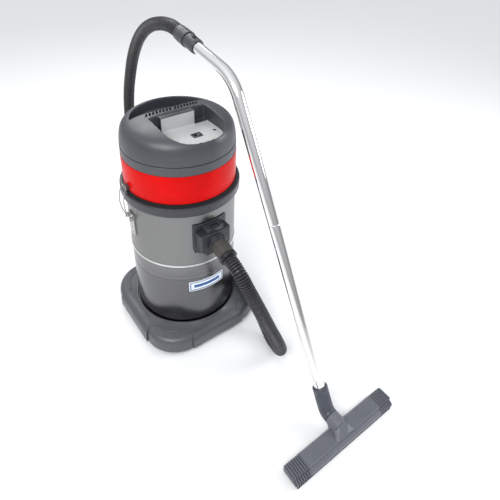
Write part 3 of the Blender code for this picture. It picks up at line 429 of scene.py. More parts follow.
# painted light on the cover's recess floor and panel, painted shade on the panel top, small hole, slots and
# rear recess: box, reach and colour
COVER_PAINTED_LIGHT_AND_SHADE = (
    ((-0.110, -0.175, 0.760), (0.115, -0.0125, 0.7694), 0.1705, PAINTED_LIGHT_GREY),
    ((-0.0615, -0.0175, 0.7600), (0.0535, -0.0125, 0.8145), 0.1000, PAINTED_LIGHT_GREY),
    ((-0.0640, -0.0175, 0.8150), (0.0560, 0.0085, 0.8190), 0.1000, SHADE),
    ((0.0700, -0.0950, 0.7500), (0.0980, -0.0650, 0.7672), 0.1400, SHADE),
    ((-0.0960, 0.0085, 0.7600), (0.0960, 0.0330, 0.8140), 0.1400, SHADE),
    ((-0.1400, 0.0345, 0.7600), (0.1400, 0.1440, 0.7980), 0.1450, HALF_SHADE),
)
LOOKS = {
    "cover": moulded("cover_plastic", (0.038, 0.041, 0.051), 0.44, 0.06, 1500.0, 0.00008, 0.85, 0.02,
                     COVER_PAINTED_LIGHT_AND_SHADE),
    "plinth": moulded("plinth_plastic", (0.064, 0.066, 0.076), 0.40, 0.14, 1100.0, 0.00012, 0.80, 0.06),
    "grey": moulded("fitting_plastic", (0.050, 0.052, 0.060), 0.38, 0.10, 1300.0, 0.00008),
    "inlet": moulded("inlet_plastic", (0.028, 0.030, 0.037), 0.36, 0.10, 1300.0, 0.00008),
    "rim": moulded("rim_plastic", (0.036, 0.037, 0.045), 0.30, 0.08, 1500.0, 0.00005),
    "cuff": moulded("cuff_plastic", (0.064, 0.059, 0.053), 0.40, 0.12, 1200.0, 0.00008),
    "elbow": moulded("elbow_plastic", (0.058, 0.063, 0.080), 0.38, 0.10, 1200.0, 0.00010),
    "tool": moulded("tool_plastic", (0.120, 0.126, 0.146), 0.40, 0.14, 1100.0, 0.00012, 0.5, 0.04),
    "black": moulded("switch_plastic", (0.008, 0.008, 0.009), 0.30, 0.04, 1500.0, 0.00004),
    "red": moulded("red_shell", (0.64, 0.003, 0.003), 0.30, 0.02, 700.0, 0.00002, 0.08),
    "rubber": moulded("seal_rubber", (0.010, 0.010, 0.010), 0.66, 0.16, 900.0, 0.00010, 0.3),
    "tank": tank_steel(),
    "chrome": brushed("polished_tube", (0.86, 0.85, 0.84), 0.08, (700.0, 700.0, 4.0), WAND_TURN, 0.000006),
    "wire": brushed("spring_wire_plate", (0.42, 0.42, 0.41), 0.22, (300.0, 300.0, 300.0)),
    "aluminium": brushed("cast_aluminium_skin", (0.56, 0.57, 0.58), 0.42, (260.0, 260.0, 260.0),
                         depth=0.00008),
    "label": label_print(),
    "hose": hose_rubber(),
    "cloth": woven_cloth(),
    "foam": open_foam(),
    "copper": wound_copper(),
}


# ---------------------------------------------------------------- shapes
def link_data(name, data, material, sharp=35.0):
    """Show a mesh, with one finish, as an object at the origin."""
    data.materials.clear()
    data.materials.append(material)
    made = bpy.data.objects.new(name, data)
    bpy.context.scene.collection.objects.link(made)
    return soften(made, sharp)


def link_mesh(name, bm, look, sharp=35.0):
    """Make a piece from a bmesh whose points are already in the row frame."""
    bmesh.ops.recalc_face_normals(bm, faces=bm.faces)
    data = bpy.data.meshes.new(name)
    bm.to_mesh(data)
    bm.free()
    return link_data(name, data, LOOKS[look], sharp)


def soften(obj, sharp=35.0):
    """Shade smoothly, except over edges sharper than an angle in degrees."""
    for polygon in obj.data.polygons:
        polygon.use_smooth = True
    obj.data.set_sharp_from_angle(angle=math.radians(sharp))
    return obj


def settle(obj):
    """Apply a piece's modifiers to its mesh."""
    bpy.context.view_layer.update()
    depsgraph = bpy.context.evaluated_depsgraph_get()
    data = bpy.data.meshes.new_from_object(obj.evaluated_get(depsgraph))
    obj.modifiers.clear()
    obj.data = data
    return obj


def edge_bevel(obj, width, segments=3, angle=32.0):
    """Round a piece's edges and settle it."""
    rounding = obj.modifiers.new("rounded_edges", "BEVEL")
    rounding.width = width
    rounding.segments = segments
    rounding.limit_method = "ANGLE"
    rounding.angle_limit = math.radians(angle)
    return soften(settle(obj), 40.0)


def aim(direction, place):
    """The turn that carries +Z onto a direction, at a place."""
    return Matrix.Translation(place) @ Vector(direction).to_track_quat("Z", "Y").to_matrix().to_4x4()


def fillet(profile, radius, closed=False, count=4):
    """Round the corners of a flat outline with arcs, each kept within half of its sides."""
    points = [Vector(p) for p in profile]
    rounded = []
    almost_straight = math.radians(172)
    for i, corner in enumerate(points):
        before = points[i - 1] - corner
        after = points[(i + 1) % len(points)] - corner
        turn = before.angle(after)
        if turn > almost_straight or not closed and i in (0, len(points) - 1):
            rounded.append(corner)
            continue
        room = 0.45 * min(before.length, after.length)
        tangent = min(radius / math.tan(turn / 2), room)
        start = corner + before.normalized() * tangent
        end = corner + after.normalized() * tangent
        for k in range(count + 1):
            t = k / count
            rounded.append((1 - t) ** 2 * start + 2 * t * (1 - t) * corner + t * t * end)
    return rounded


def round_angles(count):
    return [math.tau * i / count for i in range(count)]


def stitch(bm, rows, closed=False, caps=False):
    """Faces between rows of points that run round a ring; a row of one point is a tip."""
    count = max(len(row) for row in rows)
    pairs = list(zip(rows, rows[1:]))
    if closed:
        pairs.append((rows[-1], rows[0]))
    for first, second in pairs:
        for i in range(count):
            j = (i + 1) % count
            near = [first[k % len(first)] for k in (i, j)]
            far = [second[k % len(second)] for k in (j, i)]
            unique = list(dict.fromkeys(near + far))
            if len(unique) > 2:
                bm.faces.new(unique)
    if caps:
        bm.faces.new(reversed(rows[0]))
        bm.faces.new(rows[-1])


def turned(name, profile, look, place=None, axis=(0, 0, 1), steps=144, closed=False, rounding=0.0008):
    """A turned piece from a profile of (radius, height); closed joins its ends into a ring."""
    line = fillet(profile, rounding, closed) if rounding else profile
    matrix = aim(axis, AXIS if place is None else place)
    bm = bmesh.new()
    rows = []
    for radius, height in line:
        angles = round_angles(steps) if radius > 1e-6 else [0.0]
        rows.append([bm.verts.new(matrix @ Vector((radius * math.cos(a), radius * math.sin(a), height)))
                     for a in angles])
    stitch(bm, rows, closed)
    return link_mesh(name, bm, look)


def rounded_block(name, size, centre, look, rounding, turn=None):
    """A block with rounded edges, turned about its own middle."""
    bm = bmesh.new()
    bmesh.ops.create_cube(bm, size=1.0)
    bmesh.ops.scale(bm, vec=size, verts=bm.verts)
    if turn is not None:
        bmesh.ops.transform(bm, matrix=turn, verts=bm.verts)
    bmesh.ops.translate(bm, vec=centre, verts=bm.verts)
    made = link_mesh(name, bm, look)
    return edge_bevel(made, rounding) if rounding else made


def round_bar(name, radius, start, end, look, sides, rounding=0.0):
    """A straight round bar between two points."""
    start, end = Vector(start), Vector(end)
    run = end - start
    bm = bmesh.new()
    bmesh.ops.create_cone(bm, cap_ends=True, segments=sides, radius1=radius, radius2=radius, depth=run.length)
    bmesh.ops.transform(bm, matrix=aim(run, (start + end) / 2), verts=bm.verts)
    made = link_mesh(name, bm, look)
    return edge_bevel(made, rounding) if rounding else made


def skin(name, rings, look, sharp=35.0):
    """A skin through rings of equal point counts, closed by a face at each end."""
    bm = bmesh.new()
    stitch(bm, [[bm.verts.new(point) for point in ring] for ring in rings], caps=True)
    return link_mesh(name, bm, look, sharp)


def swept(name, route, radii, look, sides, wall=0.0):
    """A round bar along a route, with a radius for each point, or a pipe when a wall is given."""
    spots = [Vector(p) for p in route]
    runs = [(ahead - behind).normalized() for behind, ahead in zip(spots[:1] + spots, spots[1:] + spots[-1:])]
    if wall:
        spots += spots[::-1]
        runs += runs[::-1]
        radii = radii + [radius - wall for radius in reversed(radii)]
    side = runs[0].orthogonal().normalized()
    bm = bmesh.new()
    rows = []
    for spot, run, radius in zip(spots, runs, radii):
        side = (side - run * side.dot(run)).normalized()
        other = run.cross(side)
        rows.append([bm.verts.new(spot + (side * math.cos(a) + other * math.sin(a)) * radius)
                     for a in round_angles(sides)])
    stitch(bm, rows, closed=bool(wall), caps=not wall)
    return link_mesh(name, bm, look)


def bend(start, corner, end, radius, count):
    """A route from start to end that turns at the corner on an arc."""
    inward = (corner - start).normalized()
    outward = (end - corner).normalized()
    turn = inward.angle(outward)
    first = corner - inward * radius * math.tan(turn / 2)
    towards = (outward - inward * math.cos(turn)).normalized()
    centre = first + towards * radius
    arc = []
    for i in range(count + 1):
        a = turn * i / count
        arc.append(centre - towards * radius * math.cos(a) + inward * radius * math.sin(a))
    return [start] + arc + [end]


def carve(obj, tool, operation="DIFFERENCE"):
    """Cut, join or intersect a piece with a tool shape, which is then removed."""
    step = obj.modifiers.new(tool.name, "BOOLEAN")
    step.operation = operation
    step.solver = "EXACT"
    step.object = tool
    settle(obj)
    bpy.data.objects.remove(tool, do_unlink=True)
    return soften(obj)


def join(name, pieces):
    """Several shapes on one body, kept as one piece."""
    bm = bmesh.new()
    for piece in pieces:
        bm.from_mesh(piece.data)
    data = bpy.data.meshes.new(name)
    bm.to_mesh(data)
    bm.free()
    material = pieces[0].data.materials[0]
    for piece in pieces:
        bpy.data.objects.remove(piece, do_unlink=True)
    return link_data(name, data, material)


DARK = "dark_grey_plastic"


def fit(piece, body, slot, *nodes):
    """Put a finished piece on its body and hide the CAD nodes that it stands for; the slot is not used."""
    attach(piece, body)
    if nodes:
        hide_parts(*nodes)
    return piece


def paint(node, look):
    """Give a CAD node that is kept its finish."""
    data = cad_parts[node].data
    data.materials.clear()
    data.materials.append(LOOKS[look])


# ---------------------------------------------------------------- Geometry Nodes
def new_tree(name, inputs):
    """An empty geometry tree with named inputs, each as (name, socket type, default)."""
    tree = bpy.data.node_groups.new(name, "GeometryNodeTree")
    tree.interface.new_socket("Geometry", in_out="INPUT", socket_type="NodeSocketGeometry")
    for label, kind, default in inputs:
        socket = tree.interface.new_socket(label, in_out="INPUT", socket_type=kind)
        if default is not None:
            socket.default_value = default
    tree.interface.new_socket("Geometry", in_out="OUTPUT", socket_type="NodeSocketGeometry")
    entry = tree.nodes.new("NodeGroupInput")
    return tree, entry


def wire(tree, kind, links, **settings):
    """Add a node; links maps its input's name or number to a socket or a value."""
    made = tree.nodes.new(kind)
    for key, value in settings.items():
        setattr(made, key, value)
    for key, value in links.items():
        if isinstance(value, bpy.types.NodeSocket):
            tree.links.new(value, made.inputs[key])
        else:
            made.inputs[key].default_value = value
    return made


def maths(tree, operation, *values):
    """Arithmetic on sockets or numbers."""
    return wire(tree, "ShaderNodeMath", dict(enumerate(values)), operation=operation).outputs[0]


def close_tree(tree, geometry, look_socket):
    """End a tree in Realize Instances and Set Material."""
    real = wire(tree, "GeometryNodeRealizeInstances", {"Geometry": geometry})
    painted = wire(tree, "GeometryNodeSetMaterial", {
        "Geometry": real.outputs["Geometry"], "Material": look_socket})
    leave = tree.nodes.new("NodeGroupOutput")
    tree.links.new(painted.outputs["Geometry"], leave.inputs["Geometry"])


def grow(name, tree, look, values, base=None, matrix=None):
    """Run a geometry tree on a base mesh or curve and keep the result as a plain mesh."""
    if base is None:
        base = bpy.data.meshes.new(f"{name}_base")
    host = bpy.data.objects.new(f"{name}_host", base)
    bpy.context.scene.collection.objects.link(host)
    step = host.modifiers.new("grown", "NODES")
    step.node_group = tree
    values = dict(values, Material=LOOKS[look])
    for item in tree.interface.items_tree:
        if item.item_type == "SOCKET" and item.in_out == "INPUT" and item.name in values:
            step[item.identifier] = values[item.name]
    bpy.context.view_layer.update()
    depsgraph = bpy.context.evaluated_depsgraph_get()
    data = bpy.data.meshes.new_from_object(host.evaluated_get(depsgraph))
    bpy.data.objects.remove(host, do_unlink=True)
    if matrix is not None:
        data.transform(matrix)
    data.name = name
    return link_data(name, data, LOOKS[look])


def corrugation_tree():
    """A tube along a curve whose wall swells and shrinks once each pitch."""
    tree, entry = new_tree("corrugated_tube", [
        ("Radius", "NodeSocketFloat", 0.02),
        ("Depth", "NodeSocketFloat", 0.002),
        ("Pitch", "NodeSocketFloat", 0.008),
        ("Ring Step", "NodeSocketFloat", 0.001),
        ("Sides", "NodeSocketInt", 32),
        ("Material", "NodeSocketMaterial", None),
    ])
    spaced = wire(tree, "GeometryNodeResampleCurve", {
        "Curve": entry.outputs["Geometry"], "Length": entry.outputs["Ring Step"]}, mode="LENGTH")
    walked = wire(tree, "GeometryNodeSplineParameter", {})
    turns = maths(tree, "DIVIDE", walked.outputs["Length"], entry.outputs["Pitch"])
    swing = maths(tree, "COSINE", maths(tree, "MULTIPLY", turns, math.tau))
    crest = wire(tree, "ShaderNodeMapRange", {"Value": swing, "From Min": -0.75, "From Max": 0.45})
    marked = wire(tree, "GeometryNodeStoreNamedAttribute", {
        "Geometry": spaced.outputs["Curve"], "Name": "crest", "Value": crest.outputs["Result"]},
        data_type="FLOAT", domain="POINT")
    ring = wire(tree, "GeometryNodeCurvePrimitiveCircle", {
        "Resolution": entry.outputs["Sides"], "Radius": entry.outputs["Radius"]}, mode="RADIUS")
    pipe = wire(tree, "GeometryNodeCurveToMesh", {
        "Curve": marked.outputs["Geometry"], "Profile Curve": ring.outputs["Curve"], "Fill Caps": True})
    read = wire(tree, "GeometryNodeInputNamedAttribute", {"Name": "crest"}, data_type="FLOAT")
    inset = maths(tree, "SUBTRACT", read.outputs["Attribute"], 1.0)
    depth = maths(tree, "MULTIPLY", inset, entry.outputs["Depth"])
    normal = wire(tree, "GeometryNodeInputNormal", {})
    offset = wire(tree, "ShaderNodeVectorMath", {0: normal.outputs[0], "Scale": depth}, operation="SCALE")
    moved = wire(tree, "GeometryNodeSetPosition", {
        "Geometry": pipe.outputs["Mesh"], "Offset": offset.outputs["Vector"]})
    close_tree(tree, moved.outputs["Geometry"], entry.outputs["Material"])
    return tree


def repeat_tree():
    """Copies of a shape in a row, or round a ring when Radius and Turn are set."""
    tree, entry = new_tree("repeated_shape", [
        ("Count", "NodeSocketInt", 8),
        ("Step", "NodeSocketVector", (0.0, 0.0, 0.0)),
        ("Turn", "NodeSocketFloat", 0.0),
        ("Radius", "NodeSocketFloat", 0.0),
        ("Material", "NodeSocketMaterial", None),
    ])
    line = wire(tree, "GeometryNodeMeshLine", {
        "Count": entry.outputs["Count"], "Offset": entry.outputs["Step"]}, mode="OFFSET")
    index = wire(tree, "GeometryNodeInputIndex", {})
    turned_by = maths(tree, "MULTIPLY", index.outputs[0], entry.outputs["Turn"])
    spoke = wire(tree, "ShaderNodeCombineXYZ", {
        "X": maths(tree, "COSINE", turned_by), "Y": maths(tree, "SINE", turned_by)})
    out = wire(tree, "ShaderNodeVectorMath", {0: spoke.outputs[0], "Scale": entry.outputs["Radius"]},
               operation="SCALE")
    placed = wire(tree, "GeometryNodeSetPosition", {
        "Geometry": line.outputs["Mesh"], "Offset": out.outputs["Vector"]})
    angles = wire(tree, "ShaderNodeCombineXYZ", {"Z": turned_by})
    placed_copies = wire(tree, "GeometryNodeInstanceOnPoints", {
        "Points": placed.outputs["Geometry"], "Instance": entry.outputs["Geometry"],
        "Rotation": angles.outputs[0]})
    close_tree(tree, placed_copies.outputs["Instances"], entry.outputs["Material"])
    return tree


def fastener_tree():
    """A low domed head on each point of a mesh, standing along the point's own facing vector."""
    tree, entry = new_tree("fastener_heads", [
        ("Radius", "NodeSocketFloat", 0.004),
        ("Height", "NodeSocketFloat", 0.0015),
        ("Material", "NodeSocketMaterial", None),
    ])
    facing = wire(tree, "GeometryNodeInputNamedAttribute", {"Name": "facing"}, data_type="FLOAT_VECTOR")
    turn = wire(tree, "FunctionNodeAlignRotationToVector", {"Vector": facing.outputs["Attribute"]}, axis="Z")
    ball = wire(tree, "GeometryNodeMeshUVSphere", {"Segments": 20, "Rings": 12, "Radius": 1.0})
    wide = wire(tree, "ShaderNodeCombineXYZ", {"X": entry.outputs["Radius"], "Y": entry.outputs["Radius"],
                                               "Z": entry.outputs["Height"]})
    heads = wire(tree, "GeometryNodeInstanceOnPoints", {
        "Points": entry.outputs["Geometry"], "Instance": ball.outputs["Mesh"],
        "Rotation": turn.outputs["Rotation"], "Scale": wide.outputs[0]})
    close_tree(tree, heads.outputs["Instances"], entry.outputs["Material"])
    return tree


CORRUGATED = corrugation_tree()
REPEATED = repeat_tree()
FASTENERS = fastener_tree()


def fasteners(name, look, spots, radius, height):
    """Domed heads at (place, facing) pairs."""
    base = bpy.data.meshes.new(f"{name}_points")
    base.from_pydata([place for place, _ in spots], [], [])
    facing = base.attributes.new("facing", "FLOAT_VECTOR", "POINT")
    for item, (_, direction) in zip(facing.data, spots):
        item.vector = Vector(direction).normalized()
    return grow(name, FASTENERS, look, {"Radius": radius, "Height": height}, base)


def copies(name, shape, look, count, step=(0, 0, 0), radius=0.0, matrix=None):
    """A shape repeated in a row, or evenly round a ring of some radius; the shape itself is used up."""
    base = shape.data
    bpy.data.objects.remove(shape, do_unlink=True)
    turn = math.tau / count if radius else 0.0
    values = {"Count": count, "Step": step, "Turn": turn, "Radius": radius}
    return grow(name, REPEATED, look, values, base, matrix)


# ---------------------------------------------------------------- hose and its cuffs
HOSE_RADIUS = 0.0225
HOSE_PITCH = 0.0080
HOSE_DEPTH = 0.0036
# chosen points from the inlet to the handle: down to the floor, over the deck, along the floor and up
HOSE_ROUTE = (
    (0.002, -0.2843, 0.4345),
    (0.002, -0.3140, 0.4260),
    (0.004, -0.3400, 0.4100),
    (0.014, -0.3650, 0.3680),
    (0.040, -0.3950, 0.2860),
    (0.074, -0.4160, 0.1880),
    (0.102, -0.4300, 0.1120),
    (0.122, -0.4260, 0.0590),
    (0.134, -0.3980, 0.0310),
    (0.142, -0.3530, 0.0270),
    (0.149, -0.3060, 0.0450),
    (0.1550, -0.2590, 0.0760),
    (0.1610, -0.2130, 0.0980),
    (0.1690, -0.1680, 0.1050),
    (0.1800, -0.1240, 0.1070),
    (0.1925, -0.0790, 0.1085),
    (0.2030, -0.0300, 0.1090),
    (0.2070, 0.0250, 0.1090),
    (0.2045, 0.0760, 0.1085),
    (0.1970, 0.1260, 0.1075),
    (0.1890, 0.1760, 0.1040),
    (0.1820, 0.2260, 0.0950),
    (0.1760, 0.2760, 0.0760),
    (0.1710, 0.3260, 0.0510),
    (0.1660, 0.3760, 0.0320),
    (0.1590, 0.4260, 0.0250),
    (0.1490, 0.4800, 0.0300),
    (0.1350, 0.5400, 0.0600),
    (0.1210, 0.5880, 0.1200),
    (0.1100, 0.6160, 0.2150),
    (0.102, 0.6290, 0.3300),
    (0.100, 0.6330, 0.4400),
    (0.100, 0.6230, 0.5500),
    (0.100, 0.6020, 0.6410),
    (0.100, 0.5730, 0.7150),
    (0.100, 0.5300, 0.8020),
    (0.100, 0.4750, 0.8790),
    (0.100, 0.4100, 0.9400),
    (0.100, 0.3400, 0.9800),
    (0.100, 0.2650, 1.0040),
    (0.100, 0.2050, 1.0125),
    (0.100, 0.1720, 1.0118),
    (0.100, 0.1412, 1.0067),
)


def smooth_route(points, steps=8):
    """Points on a Catmull-Rom curve through the route's own points."""
    spots = [Vector(p) for p in points]
    ends = [spots[0] * 2 - spots[1]] + spots + [spots[-1] * 2 - spots[-2]]
    fine = []
    for a, b, c, d in zip(ends, ends[1:], ends[2:], ends[3:]):
        for k in range(steps):
            t = k / steps
            fine.append(0.5 * (2 * b + (c - a) * t + (2 * a - 5 * b + 4 * c - d) * t ** 2
                               + (3 * b - a - 3 * c + d) * t ** 3))
    fine.append(spots[-1])
    return fine


def open_curve(name, points):
    """A curve of straight steps through closely spaced points."""
    data = bpy.data.curves.new(name, "CURVE")
    data.dimensions = "3D"
    line = data.splines.new("POLY")
    line.points.add(len(points) - 1)
    for spot, point in zip(line.points, points):
        spot.co = (*point, 1.0)
    return data


def make_hose():
    """The corrugated hose, from the inlet cuff over the plinth's deck and up to the wand's handle."""
    route = smooth_route([from_axis(*point) for point in HOSE_ROUTE])
    hose = grow("suction_hose", CORRUGATED, "hose", {
        "Radius": HOSE_RADIUS, "Depth": HOSE_DEPTH, "Pitch": HOSE_PITCH, "Ring Step": HOSE_PITCH / 7,
        "Sides": 30,
    }, open_curve("hose_line", route))
    fit(hose, "base", "black_rubber", "hose")


def make_inlet_cuff():
    """Swivel cuff in the inlet: long grip ribs on the barrel and a heavy ring at the hose's end."""
    barrel = turned("cuff_barrel", [
        (0.0215, 0.0465), (0.0280, 0.0465), (0.0272, 0.0440), (0.0264, 0.0010), (0.0255, 0.0000),
        (0.0255, -0.0300), (0.0215, -0.0300),
    ], "cuff", CUFF_MOUTH, CUFF_RUN, closed=True)
    rib = rounded_block("cuff_rib", (0.0026, 0.0022, 0.0330), (0, 0, 0.0220), "cuff", 0.0006)
    ribs = copies("cuff_ribs", rib, "cuff", 24, radius=0.0268,
                  matrix=aim(CUFF_RUN, CUFF_MOUTH))
    fit(join("inlet_cuff_piece", [barrel, ribs]), "inlet_cuff", DARK, "hose_cuff_inlet")
    ring = turned("inlet_cuff_ring", [
        (0.0215, 0.0620), (0.0280, 0.0620), (0.0295, 0.0605), (0.0295, 0.0480), (0.0285, 0.0468),
        (0.0215, 0.0468),
    ], "black", CUFF_MOUTH, CUFF_RUN, closed=True)
    fit(ring, "inlet_cuff", DARK)


def make_handle():
    """Grip sleeve, hose cuff and sliding air regulator on the wand's bent end."""
    bore = TUBE_RADIUS + 0.0003
    sleeve = turned("handle_grip", [
        (0.0145, 0.0160), (0.0192, 0.0160), (0.0192, 0.0125), (0.0177, 0.0123), (0.0177, 0.0040),
        (0.0225, 0.0040), (0.0235, 0.0020), (0.0235, -0.0400), (0.0228, -0.0415), (0.0228, -0.0445),
        (0.0215, -0.0480), (bore, -0.0480), (bore, 0.0003), (0.0145, 0.0003),
    ], "grey", WAND_TIP, HANDLE_RUN, closed=True)
    fit(sleeve, "base", DARK, "handle_sleeve")
    barrel = turned("wand_cuff_barrel", [
        (0.0205, 0.0600), (0.0240, 0.0600), (0.0248, 0.0585), (0.0248, 0.0460), (0.0252, 0.0450),
        (0.0252, 0.0180), (0.0262, 0.0165), (0.0262, 0.0050), (0.0180, 0.0050), (0.0180, 0.0118),
        (0.0205, 0.0119),
    ], "grey", WAND_TIP, HANDLE_RUN, closed=True)
    rib = rounded_block("wand_cuff_rib", (0.0012, 0.0024, 0.0240), (0, 0, 0.0320), "grey", 0.0005)
    ribs = copies("wand_cuff_ribs", rib, "grey", 20, radius=0.0251,
                  matrix=aim(HANDLE_RUN, WAND_TIP))
    fit(join("wand_cuff_piece", [barrel, ribs]), "wand_cuff", DARK, "hose_cuff_wand")
    slide = middle("air_slide")
    turn = Matrix.Rotation(HANDLE_TILT, 4, "X")
    base = rounded_block("slide_base", (0.010, 0.016, 0.0028), slide, "black", 0.0008, turn)
    ridge = rounded_block("slide_ridge", (0.0080, 0.0008, 0.0008), (0, 0, 0.0014), "black", 0.0003)
    ridges = copies("slide_ridges", ridge, "black", 4, step=(0.0, 0.0030, 0.0),
                    matrix=Matrix.Translation(slide) @ turn @ Matrix.Translation((0, -0.0045, 0)))
    fit(join("air_slide_piece", [base, ridges]), "air_regulator", "black_plastic", "air_slide")


# ---------------------------------------------------------------- wand and elbow
def make_wand():
    """Two mirror-finished tubes, the upper one bent over to the handle and swaged over the joint."""
    sides = 56
    route = bend(WAND_SEAM, WAND_KNEE, WAND_TIP, 0.125, 24)
    lead = [WAND_SEAM + WAND_RISE * step for step in (0.0, 0.0006, 0.0016)]
    radii = [TUBE_RADIUS - 0.0003, TUBE_RADIUS - 0.0001] + [TUBE_RADIUS] * len(route)
    upper = swept("wand_bent_tube", lead + route[1:], radii, "chrome", sides, TUBE_WALL)
    fit(upper, "base", "polished_steel", "wand_upper_tube")
    steps = (0.0, 0.0006, 0.0016, 0.526, 0.5290, 0.5296)
    pinch = (0.0005, 0.0001, 0.0, 0.0, 0.0001, 0.0003)
    lower = swept("wand_straight_tube", [WAND_FOOT + WAND_RISE * step for step in steps],
                  [TUBE_RADIUS - inset for inset in pinch], "chrome", sides, TUBE_WALL)
    fit(lower, "base", "polished_steel", "wand_lower_tube")


def make_elbow():
    """Elbow from the wand's foot down to the floor tool's level neck."""
    knee = WAND_FOOT - WAND_RISE * ((WAND_FOOT.z - ELBOW_Z) / WAND_RISE.z)
    start = WAND_FOOT + WAND_RISE * 0.004
    end = knee + Vector((0, -0.0195, 0))
    route = bend(start, knee, end, 0.030, 14)
    mouth = [start - WAND_RISE * step for step in (0.0, 0.0006, 0.0018)]
    tail = [end + Vector((0, step, 0)) for step in (0.0018, 0.0006, 0.0)]
    collar_groove = [start - WAND_RISE * step for step in (0.020, 0.0212, 0.0224)]
    whole = mouth + collar_groove + route[1:-1] + tail
    insets = [0.0013, 0.0004, 0.0, 0.0, 0.0007, 0.0] + [0.0] * (len(route) - 2) + [0.0, 0.0004, 0.0013]
    elbow = swept("wand_elbow_piece", whole, [ELBOW_RADIUS - inset for inset in insets], "elbow", 48)
    carve(elbow, round_bar("elbow_socket", TUBE_RADIUS + 0.0003, WAND_FOOT, WAND_FOOT + WAND_RISE * 0.03,
                           "elbow", 48))
    fit(elbow, "base", DARK, "wand_elbow")


# ---------------------------------------------------------------- floor tool
def tool_section(x, front, back, groove=0.0, shrink=0.0):
    """The floor tool's outline at one station, seen from its end, with shallow grooves along its deck."""
    foot = 0.0125
    deck = top("floor_tool_end_left") - shrink
    outline = fillet([
        (front + shrink, foot), (back - shrink, foot), (back - shrink, 0.0320), (back - 0.006, deck),
        (front + 0.014, deck), (front + 0.011 + shrink, 0.0280), (front + shrink, 0.0255 - shrink),
    ], 0.0010, True, 2)
    lines = 6
    first = back - 0.011
    pitch = (first - front - 0.018) / (lines - 1)
    grooves = []
    for i in range(lines):
        y = first - i * pitch
        for shift, drop in ((0.0014, 0.0), (0.0005, groove), (-0.0005, groove), (-0.0014, 0.0)):
            grooves.append(Vector((y + shift, deck - drop)))
    corner_points = 3
    deck_start = 4 * corner_points
    ring = outline[:deck_start] + grooves + outline[deck_start:]
    return [Vector((x, *point)) for point in ring]


def apron_ring(centre, y, widths, heights):
    """One station of the neck's apron: a wide foot, sloping sides and a narrow top."""
    foot, side, crown = widths
    base, shoulder, ridge = heights
    half = [(foot, base), (side, shoulder), (crown, ridge)]
    mirrored = [(-across, up) for across, up in reversed(half)]
    return [(centre + across, y, up) for across, up in [mirrored[-1], *half, *mirrored[:-1]]]


def make_floor_tool():
    """Wide floor tool: grooved deck, ribbed end caps, a neck faired into the deck, and two wiper strips."""
    low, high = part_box("floor_tool_end_left")
    front, back = low.y, high.y
    neck_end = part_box("floor_tool_body")[1].y
    gap = 0.0003
    left, right = high.x + gap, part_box("floor_tool_end_right")[0].x - gap
    centre = (left + right) / 2
    deck = skin("tool_deck", [
        tool_section(left, front, back), tool_section(left + 0.0025, front, back),
        tool_section(left + 0.0040, front, back, 0.0012), tool_section(right - 0.0040, front, back, 0.0012),
        tool_section(right - 0.0025, front, back), tool_section(right, front, back),
    ], "tool")
    hollow = rounded_block("tool_hollow", (right - left - 0.012, 0.028, 0.033),
                           (centre, (front + back) / 2 + 0.004, 0.0215), "tool", 0.0)
    carve(deck, hollow)
    fit(deck, "floor_tool", DARK, "floor_tool_body")
    neck = round_bar("tool_neck", 0.0240, (centre, neck_end, ELBOW_Z), (centre, back - 0.024, ELBOW_Z),
                     "tool", 64, 0.0016)
    apron = skin("tool_apron", [
        apron_ring(centre, back + 0.006, (0.0240, 0.0225, 0.010),
                   (ELBOW_Z - 0.016, ELBOW_Z + 0.008, ELBOW_Z + 0.0215)),
        apron_ring(centre, back - 0.026, (0.032, 0.027, 0.010), (0.034, 0.050, 0.064)),
        apron_ring(centre, front + 0.012, (0.044, 0.034, 0.005), (0.034, 0.0425, 0.0475)),
    ], "tool")
    carve(neck, apron, "UNION")
    fair(neck, 0.0014, 10)
    bore = round_bar("neck_bore", 0.0195, (centre, neck_end + 0.01, ELBOW_Z), (centre, back + 0.004, ELBOW_Z),
                     "tool", 48)
    carve(neck, bore)
    fit(neck, "floor_tool", DARK)
    make_tool_ends(front, back)
    make_wiper_strips()


def make_tool_ends(front, back):
    """A sunk end shell on each side, with seven ribs that stand level with the deck."""
    sunk = 0.0030
    for tag, side in (("left", -1), ("right", 1)):
        node = f"floor_tool_end_{tag}"
        near, far = (corner.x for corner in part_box(node)[::side])
        stations = ((near, sunk), (far - side * 0.0030, sunk), (far, 0.0042))
        rings = [tool_section(x, front, back, 0.0, shrink) for x, shrink in stations]
        shell = edge_bevel(skin(f"tool_end_shell_{tag}", rings, "elbow"), 0.0008, 2, 50)
        fit(shell, "floor_tool", DARK, node)
        rib = edge_bevel(skin(f"end_rib_{tag}", [
            tool_section(near + side * 0.0004, front, back), tool_section(near + side * 0.0038, front, back)],
            "tool"), 0.0008, 2, 50)
        ribs = copies(f"tool_end_ribs_{tag}", rib, "tool", 7, step=(side * 0.0080, 0, 0))
        fit(ribs, "floor_tool", DARK)


def make_wiper_strips():
    """Two rubber strips under the tool, each ribbed on its outer face."""
    for tag in ("front", "rear"):
        node = f"floor_tool_{tag}_strip"
        low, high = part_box(node)
        blade = rounded_block(f"blade_{tag}", high - low, (low + high) / 2, "rubber", 0.0008)
        rib = rounded_block(f"blade_rib_{tag}", (0.0020, 0.0010, 0.0090), (0, 0, 0), "rubber", 0.0004)
        face = low.y if tag == "front" else high.y
        ribs = copies(f"blade_ribs_{tag}", rib, "rubber", 64, step=(0.0062, 0, 0),
                      matrix=Matrix.Translation((low.x + 0.004, face, (low.z + high.z) / 2)))
        fit(join(f"wiper_{tag}", [blade, ribs]), "floor_tool", "black_rubber", node)


